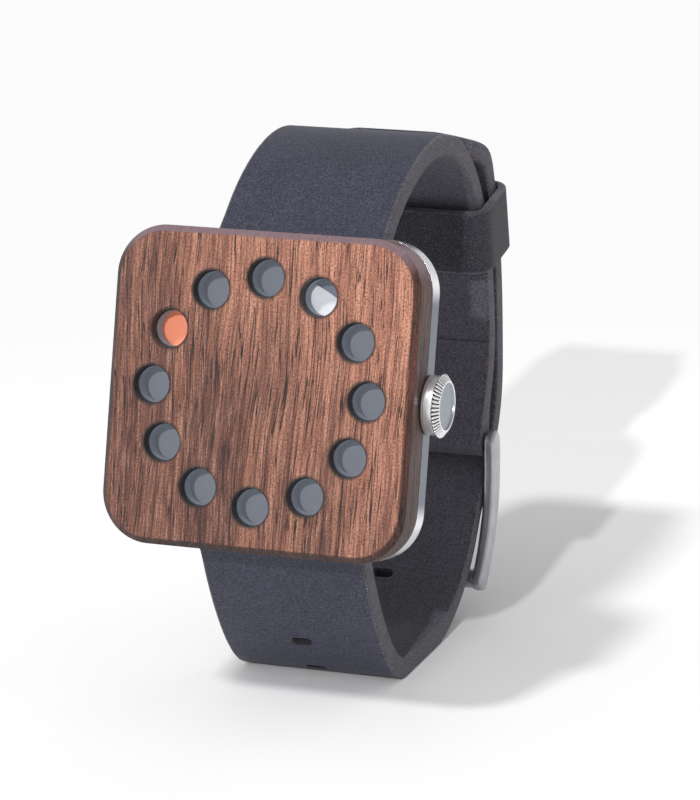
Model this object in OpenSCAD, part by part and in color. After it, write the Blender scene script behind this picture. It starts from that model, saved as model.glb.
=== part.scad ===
// Wooden quartz wristwatch, buckled into a closed loop and standing on its strap.
// Millimetres. The row frame has +Z up, the dial faces -Y and the crown is at +X.
// The origin lies on the strap's flat foot.

/* [Case] */
// Width of the case across the dial, crown left out
case_w = 42.4; // [40:0.2:46]
// Height of the case from 12 o'clock to 6 o'clock
case_h = 42.1; // [40:0.1:46]
// Radius of the case corners
case_r = 6.8; // [5:0.1:8]
// Backward lean of the dial from the vertical, in degrees
lean = 14; // [10:0.5:16]
// Height of the dial's centre above the ground
face_z = 46; // [45:0.1:48]
// Distance of the dial's centre in front of the origin
face_y = 31.9; // [31:0.1:34]

/* [Wooden cover] */
// Thickness of the wooden cover
wood_t = 5.3; // [5:0.1:6]
// Wood left in front of the pocket for the dial
skin_t = 1.6; // [1.2:0.1:1.8]
// Bevel round the front edge of the wood
bevel = 0.85; // [0.4:0.05:1]
// Diameter of an hour hole in the wood
hole_d = 5.1; // [4:0.1:5.4]
// Diameter of an hour hole in the plate behind the wood
aperture_d = 4.8; // [3.6:0.1:4.9]
// Wood beside the pocket, where the cover is thinnest
pocket_wall = 2.45; // [2.2:0.05:2.6]
// Distance of the hour holes' centres inside the pocket's wall
hour_inset = 3.6; // [3.4:0.1:4.2]

/* [Dial and hands] */
// Thickness of the plate that lines the hour holes
aperture_t = 1.9; // [1.5:0.05:1.95]
// Thickness of the dial
dial_t = 0.4; // [0.3:0.05:0.5]
// Thickness of a hand
hand_t = 0.25; // [0.2:0.05:0.3]
// Length of the minute hand's blade
minute_blade = 4; // [3.6:0.1:4.6]
// Length of the hour hand's blade
hour_blade = 5.8; // [5:0.1:6]
// Half the angle that a hand's blade covers, in degrees
blade_half = 14; // [8:1:16]
// Direction of the minute hand, in degrees clockwise from 12
minute_angle = 33; // [0:1:359]
// Direction of the hour hand, in degrees clockwise from 12
hour_angle = 303; // [0:1:359]

/* [Metal case] */
// Thickness of the black gasket between wood and metal
seam_t = 0.25; // [0.2:0.05:0.4]
// Thickness of the metal band that shows round the case
band_t = 2.75; // [2.7:0.05:3.5]
// Width of the narrower housing behind the band
housing_w = 35; // [34:0.5:36]
// Metal between the bore and the upper and lower sides of the housing
housing_wall = 1.3; // [1.1:0.1:1.4]
// Depth of the housing behind the band
housing_t = 2.9; // [2.8:0.1:3.5]
// Radius of the bore that holds the movement
bore_r = 13.2; // [13:0.1:13.4]
// Thickness of the case back
back_t = 1; // [0.9:0.1:1.4]
// Depth of the spring bars behind the front of the wood
lug_depth = 12; // [12:0.1:12.6]
// Width of one lug
lug_t = 2.6; // [2:0.1:3]

/* [Movement] */
// Module of the motion work under the dial
motion_module = 0.16; // [0.14:0.01:0.16]
// Teeth on the cannon pinion, which carries the minute hand
cannon_teeth = 10; // [10:1:10]
// Teeth on the minute wheel
minute_teeth = 30; // [30:1:30]
// Leaves on the minute wheel's pinion
minute_leaves = 8; // [8:1:8]
// Teeth on the hour wheel
hour_teeth = 32; // [32:1:32]
// Module of the centre wheel
centre_module = 0.14; // [0.12:0.01:0.14]
// Teeth on the centre wheel
centre_teeth = 40; // [40:1:40]
// Leaves on the intermediate pinion
inter_leaves = 8; // [8:1:8]
// Module of the intermediate wheel
inter_module = 0.13; // [0.12:0.01:0.13]
// Teeth on the intermediate wheel
inter_teeth = 36; // [36:1:36]
// Leaves on the rotor's pinion
rotor_leaves = 6; // [6:1:6]
// Thickness of a wheel
wheel_t = 0.35; // [0.3:0.01:0.4]
// Thickness of the main plate
plate_t = 0.8; // [0.7:0.05:0.9]
// Radius of the main plate
plate_r = 12; // [11.8:0.1:12]
// Diameter of the button cell
cell_d = 6.8; // [6.4:0.1:6.8]
// Thickness of the button cell
cell_t = 2.1; // [1.6:0.1:2.2]

/* [Crown] */
// Depth of the crown's axis behind the front of the wood
crown_depth = 6.9; // [6.8:0.05:7]
// Radius of the crown's knurled rim
crown_r = 4.2; // [3.9:0.1:4.5]
// Radius of the crown's smooth neck
neck_r = 3.95; // [3:0.05:4]
// Length of the smooth neck
neck_l = 1.5; // [1.45:0.05:1.8]
// Length of the knurled rim
rim_l = 0.9; // [0.85:0.05:1.2]
// Number of ridges on the crown
crown_ridges = 46; // [36:1:60]
// Travel of the crown when it is pulled out
crown_pull = 0.8; // [0.6:0.1:0.9]

/* [Strap] */
// Width of the leather strap
strap_w = 23.55; // [22:0.05:24]
// Thickness of the leather
strap_t = 2.9; // [2.4:0.1:3]
// Distance of the strap's crest behind the origin
crest_y = 7.2; // [6.8:0.1:7.6]
// Height of the strap's underside at its crest
crest_z = 70; // [69.5:0.1:70.5]
// Reach of the inner layer behind the origin
inner_y = 32.35; // [32.2:0.05:32.4]
// Height at which the inner layer reaches farthest back
inner_z = 38.8; // [38:0.1:39.5]
// Distance of the buckle's spring bar behind the origin
buckle_y = 26.9; // [26.8:0.05:27]
// Height of the buckle's spring bar
buckle_z = 24.4; // [24:0.1:24.8]
// Distance behind the origin of a point on the rising part of the lower strap
rise_y = 22.4; // [22.2:0.1:22.6]
// Height of that point
rise_z = 11.8; // [11.6:0.1:12]
// Reach of the outer layer behind the origin
outer_y = 36.05; // [36:0.05:36.3]
// Height at which the outer layer reaches farthest back
outer_z = 34.4; // [34:0.1:35]
// Distance behind the origin of the bend above the keeper
shoulder_y = 30.5; // [30.4:0.05:30.6]
// Height of the bend above the keeper
shoulder_z = 63.1; // [62.8:0.1:63.4]
// Distance of the strap's tip behind the origin
tip_y = 22.4; // [22:0.1:23]
// Height of the strap's tip
tip_z = 69.1; // [69:0.1:69.4]
// Reach of the flat foot in front of the origin
foot_front = 7.5; // [6:0.5:8]
// Reach of the flat foot behind the origin
foot_rear = 5.5; // [4:0.5:7]
// Distance between buckle slots along the strap
slot_pitch = 7.15; // [6.5:0.05:7.5]
// Slots between the tongue and the case
slots_down = 8; // [4:1:8]
// Slots between the tongue and the tip
slots_up = 3; // [0:1:3]
// Width of a slot across the strap
slot_w = 3.2; // [3:0.1:4]
// Length of a slot along the strap
slot_l = 1.6; // [1.5:0.05:1.8]
// Radius of the rounded corners at the strap's tip
tip_r = 8; // [4:0.5:10]
// Height of the keeper's centre above the ground
keeper_z = 55.6; // [54:0.2:57]
// Width of the keeper along the strap
keeper_w = 9.4; // [8:0.1:11]
// Thickness of the keeper's leather
keeper_t = 1.3; // [1:0.1:1.6]

/* [Buckle] */
// Distance of the buckle's end bar behind the origin
end_bar_y = 21; // [20.8:0.1:21.2]
// Height of the buckle's end bar
end_bar_z = 5.4; // [5.3:0.1:5.6]
// Width of a buckle side bar across the strap
side_w = 1.6; // [1:0.05:1.7]
// Depth of a buckle side bar
side_t = 3.3; // [2.6:0.1:3.5]
// Radius of the buckle's end bar
end_bar_r = 1.4; // [1:0.05:1.5]
// Outward bow of the buckle's side bars
bow = 2.2; // [1:0.1:2.4]
// Width of the tongue
tongue_w = 2.2; // [2:0.1:2.4]
// Thickness of the tongue
tongue_t = 0.8; // [0.7:0.05:0.9]

/* [Hidden] */
$fn = 64;

// Clearances
run = 0.15;       // axial gap between wheels on the dial side and behind it
fit = 0.02;       // gap round a seated disc
pivot_gap = 0.06; // radial gap round a turning pivot
soft_gap = 0.32;  // gap between leather and metal
hand_gap = 0.3;   // axial gap in front of a hand
eye_gap = 0.5;    // gap between the strap's eyes and the housing
eps = 0.01;       // overshoot of a cut

// Levels in the case frame, where z = 0 is the front of the wood
z_aperture = -skin_t - fit;
z_frame = -wood_t - seam_t;
z_band = z_frame - band_t;
z_housing = z_band - housing_t;
z_dial = z_frame + dial_t + fit;
z_minute_hand = z_aperture - aperture_t - hand_gap;
z_hour_hand = z_minute_hand - hand_t - hand_gap;
z_hour_wheel = z_frame - run;
z_minute_wheel = z_hour_wheel - wheel_t - run;
z_plate = z_minute_wheel - wheel_t - run;
z_train = z_plate - plate_t;
z_centre_wheel = z_train - run;
z_inter_wheel = z_centre_wheel - wheel_t - 2 * run;
z_bridge = z_inter_wheel - wheel_t - run;
bridge_t = 0.5;
z_bridge_rear = z_bridge - bridge_t;
back_boss_t = 0.8;
z_back_boss = z_housing + back_boss_t;

// Round the dial's axis: all follow the pocket, which follows the shorter side of the case
pocket_r = min(case_w, case_h) / 2 - pocket_wall;
hole_circle_r = pocket_r - hour_inset;
minute_hand_r = hole_circle_r + 0.6;
hour_hand_r = pocket_r - 0.9;
minute_hub_r = 1.5;
hour_hub_r = 1.9;
hand_arm_w = 1.6;

// Places of the wheels in the case frame
motion_distance = motion_module * (cannon_teeth + minute_teeth) / 2;
minute_wheel_at = motion_distance * [cos(135), sin(135)];
inter_distance = centre_module * (centre_teeth + inter_leaves) / 2;
inter_at = inter_distance * [cos(250), sin(250)];
rotor_distance = inter_module * (inter_teeth + rotor_leaves) / 2;
rotor_at = inter_at + rotor_distance * [cos(200), sin(200)];
arbor_r = 0.45;
hour_tube_r = 0.82;
pivot_r = 0.2;
pillars = [[2.6, -6.2], [-6.3, -0.6]];
pillar_r = 0.7;
screw_r = 0.35;
cell_at = [-5.4, 5.4];
coil_y = -8.6;
coil_x = [-4.6, 0.1];
coil_r = 1.05;
core_x = [-6.6, 3];
board_x = [3.4, 8.8];
board_y = [-6.8, -1.7];
board_t = 0.3;
bridge_x = [-7.2, 3.5];
bridge_y = [-7.1, 1.5];
stator_t = 0.45;
rotor_gap = 0.25;
magnet_r = 1;
stator_wall = 0.6;

// Crown, stem and tube, along +X
crown_x = case_w / 2 + 0.2;
rim_x = crown_x + neck_l;
crown_end = rim_x + rim_l;
crown_dish = 0.25;
crown_bevel = 0.65;
ridge_depth = 0.22;
crown_face_r = crown_r - 0.85;
tube_r = 1.1;
tube_end = crown_x + crown_pull + 0.7;
stem_r = 0.6;
stem_square = 0.8;
pinion_x = [5.8, 7.3];
pinion_slot = 2.7;
stem_start = pinion_x[0] - crown_pull;
stem_end = crown_end - crown_dish - 0.2;

// Spring bars
bar_r = 0.8;
bar_tip_r = 0.5;
bar_tip_l = 0.85;
eye_bore_r = bar_r + 0.08;
eye_r = strap_t / 2 + 0.75;
housing_h = 2 * (bore_r + housing_wall);
lug_x = strap_w / 2 + soft_gap;
lug_y = housing_h / 2 + eye_gap + eye_r;
lug_end_r = 2.1;

// The loop of the strap, in the plane of Y (back) and Z (up)
function to_row(p) = [
    -face_y + p[0] * sin(lean) - p[1] * cos(lean),
    face_z + p[0] * cos(lean) + p[1] * sin(lean)
];
upper_bar = to_row([lug_y, -lug_depth]);
lower_bar = to_row([-lug_y, -lug_depth]);
mid = strap_t / 2;
buckle_bar = [buckle_y, buckle_z];
end_bar = [end_bar_y, end_bar_z];

function dir(a) = [cos(a), sin(a)];
function unit(v) = v / norm(v);
function turned(v) = [-v[1], v[0]];

// A knot is a point, the strap's direction there in degrees, and its two
// handles as parts of the distance to the knot before and the knot after it;
// the strap is a smooth curve through its knots
function bend(a, b, steps) = let (
        span = norm(b[0] - a[0]),
        p0 = a[0],
        p1 = a[0] + a[3] * span * dir(a[1]),
        p2 = b[0] - b[2] * span * dir(b[1]),
        p3 = b[0]
    ) [for (i = [0:steps - 1]) let (u = i / steps, v = 1 - u)
        v * v * v * p0 + 3 * v * v * u * p1 + 3 * v * u * u * p2 + u * u * u * p3];
function curve(knots, steps) = [
    for (i = [0:len(knots) - 2]) each bend(knots[i], knots[i + 1], steps),
    knots[len(knots) - 1][0]
];

// Point, direction, handle before, handle after
upper_knots = [
    [upper_bar, 52, 0, 0.422],
    [[crest_y, crest_z + mid], 0, 0.25, 0.372],
    [[inner_y - mid, inner_z], -90, 0.434, 0.335],
    [buckle_bar, -101, 0.335, 0]
];
tip_at = [tip_y, tip_z];
tip_angle = 148;
lower_knots = [
    [lower_bar, -80, 0, 0.265],
    [[-foot_front, mid], 0, 0.232, 0.288],
    [[foot_rear, mid], 0, 0.212, 0.177],
    [[rise_y, rise_z], 57, 0.454, 0.428],
    [[outer_y - mid, outer_z], 90, 0.409, 0.362],
    [[shoulder_y, shoulder_z], 109, 0.414, 0.427],
    [tip_at, tip_angle, 0.476, 0]
];
upper_path = curve(upper_knots, 14);
lower_path = curve(lower_knots, 12);

function tangent(p, i) = unit(p[min(i + 1, len(p) - 1)] - p[max(i - 1, 0)]);
function shifted(p, d) = [for (i = [0:len(p) - 1]) p[i] + d * turned(tangent(p, i))];
function reversed(p) = [for (i = [len(p) - 1:-1:0]) p[i]];
function band(p, t) = concat(shifted(p, t / 2), reversed(shifted(p, -t / 2)));
function lengths(p, i = 0, s = 0) = i == len(p) - 1
    ? [s]
    : concat([s], lengths(p, i + 1, s + norm(p[i + 1] - p[i])));
// Distance along path p, with lengths s, of its nearest point to q
function nearest(p, s, q) = let (
        found = [
            for (i = [0:len(p) - 2])
                let (e = p[i + 1] - p[i], u = min(1, max(0, (q - p[i]) * e / (e * e))))
                    [norm(p[i] + u * e - q), s[i] + u * norm(e)]
        ],
        least = min([for (f = found) f[0]])
    ) [for (f = found) if (f[0] == least) f[1]][0];
function step_at(s, x) = max([for (i = [0:len(s) - 2]) if (s[i] <= x) i]);
function point_at(p, s, x) = let (
        i = step_at(s, x),
        u = (x - s[i]) / (s[i + 1] - s[i])
    ) p[i] + u * (p[i + 1] - p[i]);
function angle_at(p, s, x) = let (
        i = step_at(s, x),
        d = p[i + 1] - p[i]
    ) atan2(d[1], d[0]);
// Y of the rearmost crossing of height z
function y_at(p, z) = max([
    for (i = [0:len(p) - 2])
        let (a = p[i], b = p[i + 1])
            if ((a[1] - z) * (b[1] - z) <= 0 && a[1] != b[1])
                a[0] + (b[0] - a[0]) * (z - a[1]) / (b[1] - a[1])
]);

lower_s = lengths(lower_path);
tongue_s = nearest(lower_path, lower_s, buckle_bar);
tongue_cross = point_at(lower_path, lower_s, tongue_s) - buckle_bar;
tongue_reach = norm(tongue_cross);
tongue_out = unit(tongue_cross);

// The keeper stands across both layers; its mouth clears them over its travel
keeper_half = keeper_w / 2;
keeper_tilt = 11;
keeper_travel = [-1.5, 0.5];
keeper_at = [(y_at(upper_path, keeper_z) + y_at(lower_path, keeper_z)) / 2, keeper_z];
function in_keeper(p) = let (d = p - keeper_at) [
    d[0] * cos(keeper_tilt) + d[1] * sin(keeper_tilt),
    d[1] * cos(keeper_tilt) - d[0] * sin(keeper_tilt)
];
function held(knots) = [
    for (p = shifted(curve(knots, 80), -mid))
        let (q = in_keeper(p))
            if (p[0] > 0 && q[1] > keeper_travel[0] - keeper_half - 1
                && q[1] < keeper_travel[1] + keeper_half + 1) q[0]
];
keeper_front = min(held(upper_knots)) - soft_gap;
keeper_rear = max(held(lower_knots)) + soft_gap;
keeper_depth = keeper_rear - keeper_front;
keeper_shift = (keeper_rear + keeper_front) / 2;
keeper_inner_w = strap_w + 2 * soft_gap;

// The buckle's side bars bow outward on an arc through both of its bars
buckle_chord = end_bar - buckle_bar;
buckle_mid = (end_bar + buckle_bar) / 2;
bow_out = turned(unit(buckle_chord));
bow_r = (pow(norm(buckle_chord) / 2, 2) + bow * bow) / (2 * bow);
bow_centre = buckle_mid + (bow - bow_r) * bow_out;
function bow_angle(p) = let (d = p - bow_centre) atan2(d[1], d[0]);
bow_from = bow_angle(buckle_bar);
bow_to = bow_angle(end_bar);
side_x = strap_w / 2 + soft_gap;
side_path = [for (i = [0:16]) bow_centre + bow_r * dir(bow_from + (bow_to - bow_from) * i / 16)];

// The tongue leaves the spring bar, passes its slot, and lies over the end bar
tongue_ring_r = 1.7;
tongue_rise = 1;
tongue_over = 1.2;
tongue_seat = 0.03;
tongue_knee = buckle_bar + (tongue_reach + mid + tongue_rise) * tongue_out;
tongue_rest = end_bar + (end_bar_r + tongue_t / 2 + tongue_seat) * unit([0.93, -0.37]);
tongue_tip = tongue_rest + tongue_over * unit(tongue_rest - tongue_knee);

// Carries a shape from the case frame (x right, y up, z out of the dial)
module posed() {
    translate([0, -face_y, face_z]) rotate([90 - lean, 0, 0]) children();
}

// Extrudes a profile drawn in Y and Z over width w, from x on
module across(x, w) {
    translate([x, 0, 0]) rotate([90, 0, 90]) linear_extrude(w) children();
}

// A pin along X at a point of the Y, Z plane
module pin(p, x, w, r) {
    translate([x, p[0], p[1]]) rotate([0, 90, 0]) cylinder(h = w, r = r);
}

// A disc or tube from level z down
module disc(z, t, r) {
    translate([0, 0, z - t]) cylinder(h = t, r = r);
}

// A rounded plate from level z down, with a bevel c round its front edge
module plate(w, h, r, z, t, c) {
    edge = [[0, z], [r - c, z], [r, z - c], [r, z - t], [0, z - t]];
    for (sx = [-1, 1], sy = [-1, 1])
        translate([sx * (w / 2 - r), sy * (h / 2 - r), 0]) rotate_extrude() polygon(edge);
    rotate([90, 0, 90]) translate([0, 0, r - w / 2]) linear_extrude(w - 2 * r) side(h, z, t, c);
    rotate([90, 0, 0]) translate([0, 0, r - h / 2]) linear_extrude(h - 2 * r) side(w, z, t, c);
}

module side(w, z, t, c) {
    polygon([
        [-w / 2, z - t], [w / 2, z - t], [w / 2, z - c],
        [w / 2 - c, z], [c - w / 2, z], [-w / 2, z - c]
    ]);
}

module hour_holes(z, t, d) {
    for (i = [1:12])
        rotate([0, 0, -30 * i]) translate([0, hole_circle_r, 0]) disc(z, t, d / 2);
}

// A wheel with straight-sided teeth: m is its module, n its teeth
module wheel(m, n, z, t) {
    tip = m * (n / 2 + 0.8);
    root = m * (n / 2 - 1.05);
    pitch = 360 / n;
    points = [
        for (i = [0:n - 1])
            each [
                root * dir(pitch * (i - 0.32)),
                tip * dir(pitch * (i - 0.1)),
                tip * dir(pitch * (i + 0.1)),
                root * dir(pitch * (i + 0.32))
            ]
    ];
    translate([0, 0, z - t]) linear_extrude(t) polygon(points);
}

module at_wheel(p) {
    translate([p[0], p[1], 0]) children();
}

// Wooden cover and what shows through its holes
module wood_cover() {
    color("sienna") posed() difference() {
        plate(case_w, case_h, case_r, 0, wood_t, bevel);
        disc(-skin_t, wood_t - skin_t + eps, pocket_r);
        hour_holes(eps, skin_t + 2 * eps, hole_d);
    }
}

module aperture_plate() {
    middle_t = 0.7;
    color("dimgray") posed() difference() {
        disc(z_aperture, aperture_t, pocket_r - fit);
        disc(z_aperture - middle_t, aperture_t, hole_circle_r - aperture_d / 2 - 1);
        hour_holes(z_aperture + eps, aperture_t + 2 * eps, aperture_d);
    }
}

module dial_plate() {
    color("slategray") posed() difference() {
        disc(z_dial, dial_t, pocket_r - 0.2);
        disc(z_dial + eps, dial_t + 2 * eps, hour_tube_r + 0.4);
    }
}

// A paddle hand: a hub, a narrow arm and a blade bounded by arcs
module hand(z, angle, hub_r, reach, blade) {
    steps = 12;
    inner = reach - blade;
    outline = concat(
        [for (i = [0:steps]) reach * dir(90 - blade_half + 2 * blade_half * i / steps)],
        [for (i = [0:steps]) inner * dir(90 + blade_half - 2 * blade_half * i / steps)]
    );
    rotate([0, 0, -angle]) {
        disc(z, hand_t, hub_r);
        translate([0, 0, z - hand_t]) linear_extrude(hand_t) polygon(outline);
        translate([-hand_arm_w / 2, 0, z - hand_t]) cube([hand_arm_w, inner + 0.6, hand_t]);
    }
}

module minute_hand() {
    color("white") posed() difference() {
        hand(z_minute_hand, minute_angle, minute_hub_r, minute_hand_r, minute_blade);
        disc(z_minute_hand + eps, hand_t + 2 * eps, arbor_r);
    }
}

module hour_hand() {
    color("coral") posed() difference() {
        hand(z_hour_hand, hour_angle, hour_hub_r, hour_hand_r, hour_blade);
        disc(z_hour_hand + eps, hand_t + 2 * eps, hour_tube_r);
    }
}

// Metal case
module cover_gasket() {
    inset = 0.35;
    color("black") posed() difference() {
        plate(case_w - 2 * inset, case_h - 2 * inset, case_r - inset, -wood_t, seam_t, 0);
        disc(-wood_t + eps, seam_t + 2 * eps, pocket_r);
    }
}

band_root = 0.5;
module lug(sx, sy) {
    x = sx > 0 ? lug_x : -lug_x - lug_t;
    bar_z = -lug_depth;
    translate([x, sy * lug_y, bar_z]) rotate([0, 90, 0]) cylinder(h = lug_t, r = lug_end_r);
    translate([x, sy * lug_y - lug_end_r, bar_z])
        cube([lug_t, 2 * lug_end_r, z_band - bar_z + band_root]);
}

screw_inset = 2.9;
module screw_places() {
    for (sx = [-1, 1], sy = [-1, 1])
        translate([sx * (housing_w / 2 - screw_inset), sy * (housing_h / 2 - screw_inset), 0])
            children();
}

back_screw_l = 2.2;
back_head_t = 0.5;
rim_t = 2.3;
floor_t = 0.8;
dial_ledge = 1.2;
housing_corner = 5;
module case_frame() {
    color("silver") posed() difference() {
        union() {
            plate(case_w, case_h, case_r, z_frame, band_t, 0);
            plate(housing_w, housing_h, housing_corner, z_band + band_root, housing_t + band_root, 0);
            for (sx = [-1, 1], sy = [-1, 1])
                lug(sx, sy);
        }
        difference() {
            plate(case_w - 2 * rim_t, case_h - 2 * rim_t, case_r - rim_t,
                z_frame + eps, band_t - floor_t, 0);
            disc(z_frame + 1, band_t + 2, bore_r + dial_ledge);
        }
        disc(z_frame + eps, band_t + housing_t + 2 * eps, bore_r);
        translate([0, 0, -crown_depth]) rotate([0, 90, 0]) cylinder(h = case_w, r = tube_r);
        for (sy = [-1, 1])
            translate([-lug_x - bar_tip_l - 0.2, sy * lug_y, -lug_depth]) rotate([0, 90, 0])
                cylinder(h = 2 * (lug_x + bar_tip_l + 0.2), r = bar_tip_r + 0.05);
        screw_places() disc(z_housing + back_screw_l, back_screw_l + eps, screw_r + 0.15);
    }
}

back_inset = 0.5;
boss_r = bore_r - 0.8;
boss_wall = 1.2;
module case_back() {
    color("silver") posed() difference() {
        union() {
            plate(housing_w - 2 * back_inset, housing_h - 2 * back_inset, housing_corner - back_inset,
                z_housing, back_t, 0);
            disc(z_back_boss, back_boss_t + 0.1, boss_r);
        }
        disc(z_back_boss + eps, back_boss_t, boss_r - boss_wall);
        screw_places() {
            disc(z_housing + eps, back_t + 2 * eps, screw_r + 0.15);
            disc(z_housing - back_t + back_head_t, back_head_t + eps, 1.05);
        }
    }
}

module back_gasket() {
    inner = boss_r + 0.05;
    color("black") posed() translate([0, 0, z_housing + fit]) difference() {
        cylinder(h = 0.6, r = bore_r - 0.04);
        translate([0, 0, -eps]) cylinder(h = 1, r = inner);
    }
}

module back_screws() {
    color("gray") posed() screw_places() difference() {
        union() {
            disc(z_housing + back_screw_l - 0.1, back_screw_l + back_t - back_head_t, screw_r + 0.13);
            disc(z_housing - back_t + back_head_t, back_head_t - 0.05, 1);
        }
        translate([-1.2, -0.12, z_housing - back_t]) cube([2.4, 0.24, 0.25]);
    }
}

// Movement
ring_rear = z_back_boss + 0.05;
ledge_r = plate_r - 0.6;
ring_gate = 2.8;
module movement_ring() {
    top = z_frame - 0.1;
    color("gainsboro") posed() difference() {
        disc(top, top - ring_rear, bore_r - 0.08);
        disc(top + eps, top - z_train + eps, plate_r + 0.05);
        disc(top, top - ring_rear + eps, ledge_r);
        translate([0, -ring_gate / 2, z_train - 0.8]) cube([bore_r, ring_gate, 5]);
    }
}

module main_plate() {
    color("lightgray") posed() {
        difference() {
            disc(z_plate, plate_t, plate_r);
            disc(z_plate + eps, plate_t + 2 * eps, 0.6 + pivot_gap);
            at_wheel(inter_at) disc(z_train + 0.4, 1, pivot_r + pivot_gap);
            at_wheel(rotor_at) disc(z_train + 0.4, 1, pivot_r + pivot_gap);
            at_wheel(minute_wheel_at) disc(z_plate + eps, 0.5, pivot_r + pivot_gap);
            at_wheel(cell_at) disc(z_plate + eps, plate_t + 2 * eps, cell_d / 2 + 0.1);
            translate([coil_x[0] - 0.1, coil_y - coil_r - 0.1, z_train - eps])
                cube([coil_x[1] - coil_x[0] + 0.2, 2 * coil_r + 0.2, plate_t + 2 * eps]);
            translate([stem_start - 0.3, -0.8, z_train - eps])
                cube([plate_r, 1.6, plate_t + 2 * eps]);
            translate([pinion_x[0] - 0.3, -pinion_slot / 2, z_train - eps])
                cube([pinion_x[1] - pinion_x[0] + 0.6, pinion_slot, plate_t + 2 * eps]);
        }
        for (p = pillars)
            at_wheel(p) difference() {
                disc(z_train + 0.1, z_train + 0.1 - z_bridge, pillar_r);
                disc(z_train, z_train - z_bridge + eps, screw_r);
            }
    }
}

module train_bridge() {
    color("lightgray") posed() difference() {
        translate([bridge_x[0], bridge_y[0], z_bridge_rear])
            cube([bridge_x[1] - bridge_x[0], bridge_y[1] - bridge_y[0], bridge_t]);
        for (p = [[0, 0], inter_at, rotor_at])
            at_wheel(p) disc(z_bridge + eps, bridge_t + 2 * eps, pivot_r + pivot_gap);
        for (p = pillars)
            at_wheel(p) disc(z_bridge + eps, bridge_t + 2 * eps, screw_r + 0.05);
    }
}

module bridge_screws() {
    color("gray") posed() for (p = pillars)
        at_wheel(p) difference() {
            union() {
                disc(z_train - 0.2, z_train - 0.2 - z_bridge_rear, screw_r - 0.01);
                disc(z_bridge_rear, 0.35, 0.75);
            }
            translate([-1, -0.1, z_bridge_rear - 0.4]) cube([2, 0.2, 0.2]);
        }
}

module cannon_pinion() {
    color("goldenrod") posed() {
        disc(z_minute_hand + 0.15, z_minute_hand + 0.15 - z_minute_wheel, arbor_r);
        rotate([0, 0, 135]) wheel(motion_module, cannon_teeth, z_minute_wheel, wheel_t);
        disc(z_minute_wheel, z_minute_wheel - z_centre_wheel + wheel_t, 0.6);
        disc(z_centre_wheel, z_centre_wheel - z_bridge + 0.4, pivot_r);
    }
}

module centre_wheel() {
    color("goldenrod") posed() difference() {
        rotate([0, 0, 250]) wheel(centre_module, centre_teeth, z_centre_wheel, wheel_t);
        disc(z_centre_wheel + eps, wheel_t + 2 * eps, 0.6);
    }
}

module minute_wheel() {
    color("goldenrod") posed() at_wheel(minute_wheel_at) {
        rotate([0, 0, -45 + 180 / minute_teeth])
            wheel(motion_module, minute_teeth, z_minute_wheel, wheel_t);
        rotate([0, 0, -45])
            wheel(motion_module, minute_leaves, z_hour_wheel, wheel_t + run + eps);
        disc(z_minute_wheel, z_minute_wheel - z_plate + 0.4, pivot_r);
    }
}

module hour_wheel() {
    color("goldenrod") posed() difference() {
        union() {
            rotate([0, 0, 135 + 180 / hour_teeth])
                wheel(motion_module, hour_teeth, z_hour_wheel, wheel_t);
            disc(z_hour_hand + 0.08, z_hour_hand + 0.08 - z_hour_wheel, hour_tube_r);
        }
        disc(z_hour_hand + 1, 4, arbor_r + pivot_gap);
    }
}

module intermediate_wheel() {
    color("goldenrod") posed() at_wheel(inter_at) {
        rotate([0, 0, 70 + 180 / inter_leaves])
            wheel(centre_module, inter_leaves, z_centre_wheel + 0.05, wheel_t + 2 * run + 0.1);
        rotate([0, 0, 20])
            wheel(inter_module, inter_teeth, z_inter_wheel, wheel_t);
        disc(z_train + 0.3, z_train + 0.3 - z_bridge + 0.4, pivot_r);
    }
}

magnet_t = 0.5;
module rotor() {
    color("gray") posed() at_wheel(rotor_at) {
        disc(z_centre_wheel + 0.05, magnet_t, magnet_r);
        rotate([0, 0, 20 + 180 / rotor_leaves])
            wheel(inter_module, rotor_leaves, z_inter_wheel + 0.05, wheel_t + 0.1);
        disc(z_train + 0.3, z_train + 0.3 - z_bridge + 0.4, pivot_r);
    }
}

// A straight arm of the stator between two points
module arm(a, b, w, z, t) {
    d = b - a;
    translate([a[0], a[1], z - t]) rotate([0, 0, atan2(d[1], d[0])])
        translate([0, -w / 2, 0]) cube([norm(d), w, t]);
}

module stator() {
    left = [core_x[0] + 0.6, coil_y];
    right = [core_x[1] - 0.6, coil_y];
    z = z_centre_wheel;
    color("darkgray") posed() difference() {
        union() {
            at_wheel(rotor_at) disc(z, stator_t, magnet_r + rotor_gap + stator_wall);
            arm(rotor_at, left, 1.1, z, stator_t);
            arm(rotor_at, right, 1.1, z, stator_t);
            at_wheel(left) disc(z, stator_t, 0.6);
            at_wheel(right) disc(z, stator_t, 0.6);
        }
        at_wheel(rotor_at) disc(z + eps, stator_t + 2 * eps, magnet_r + rotor_gap);
    }
}

module coil() {
    z = z_centre_wheel - stator_t - fit;
    core_t = 0.4;
    color("chocolate") posed() {
        translate([coil_x[0], coil_y, z - core_t / 2]) rotate([0, 90, 0])
            cylinder(h = coil_x[1] - coil_x[0], r = coil_r);
        translate([core_x[0], coil_y - 0.55, z - core_t])
            cube([core_x[1] - core_x[0], 1.1, core_t]);
    }
}

module circuit_board() {
    z = z_train - fit;
    color("darkgreen") posed() {
        translate([board_x[0], board_y[0], z - board_t])
            cube([board_x[1] - board_x[0], board_y[1] - board_y[0], board_t]);
        translate([4, -4.4, z - board_t - 0.5]) cube([2.2, 2.2, 0.6]);
    }
}

module quartz_can() {
    r = 0.7;
    color("silver") posed() translate([7.6, -6.5, z_train - fit - board_t - r - fit])
        rotate([-90, 0, 0]) cylinder(h = 4.6, r = r);
}

cell_z = z_train + 0.3;
module button_cell() {
    color("silver") posed() at_wheel(cell_at) {
        disc(cell_z - 0.3, cell_t - 0.3, cell_d / 2);
        disc(cell_z, cell_t, cell_d / 2 - 0.5);
    }
}

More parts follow.
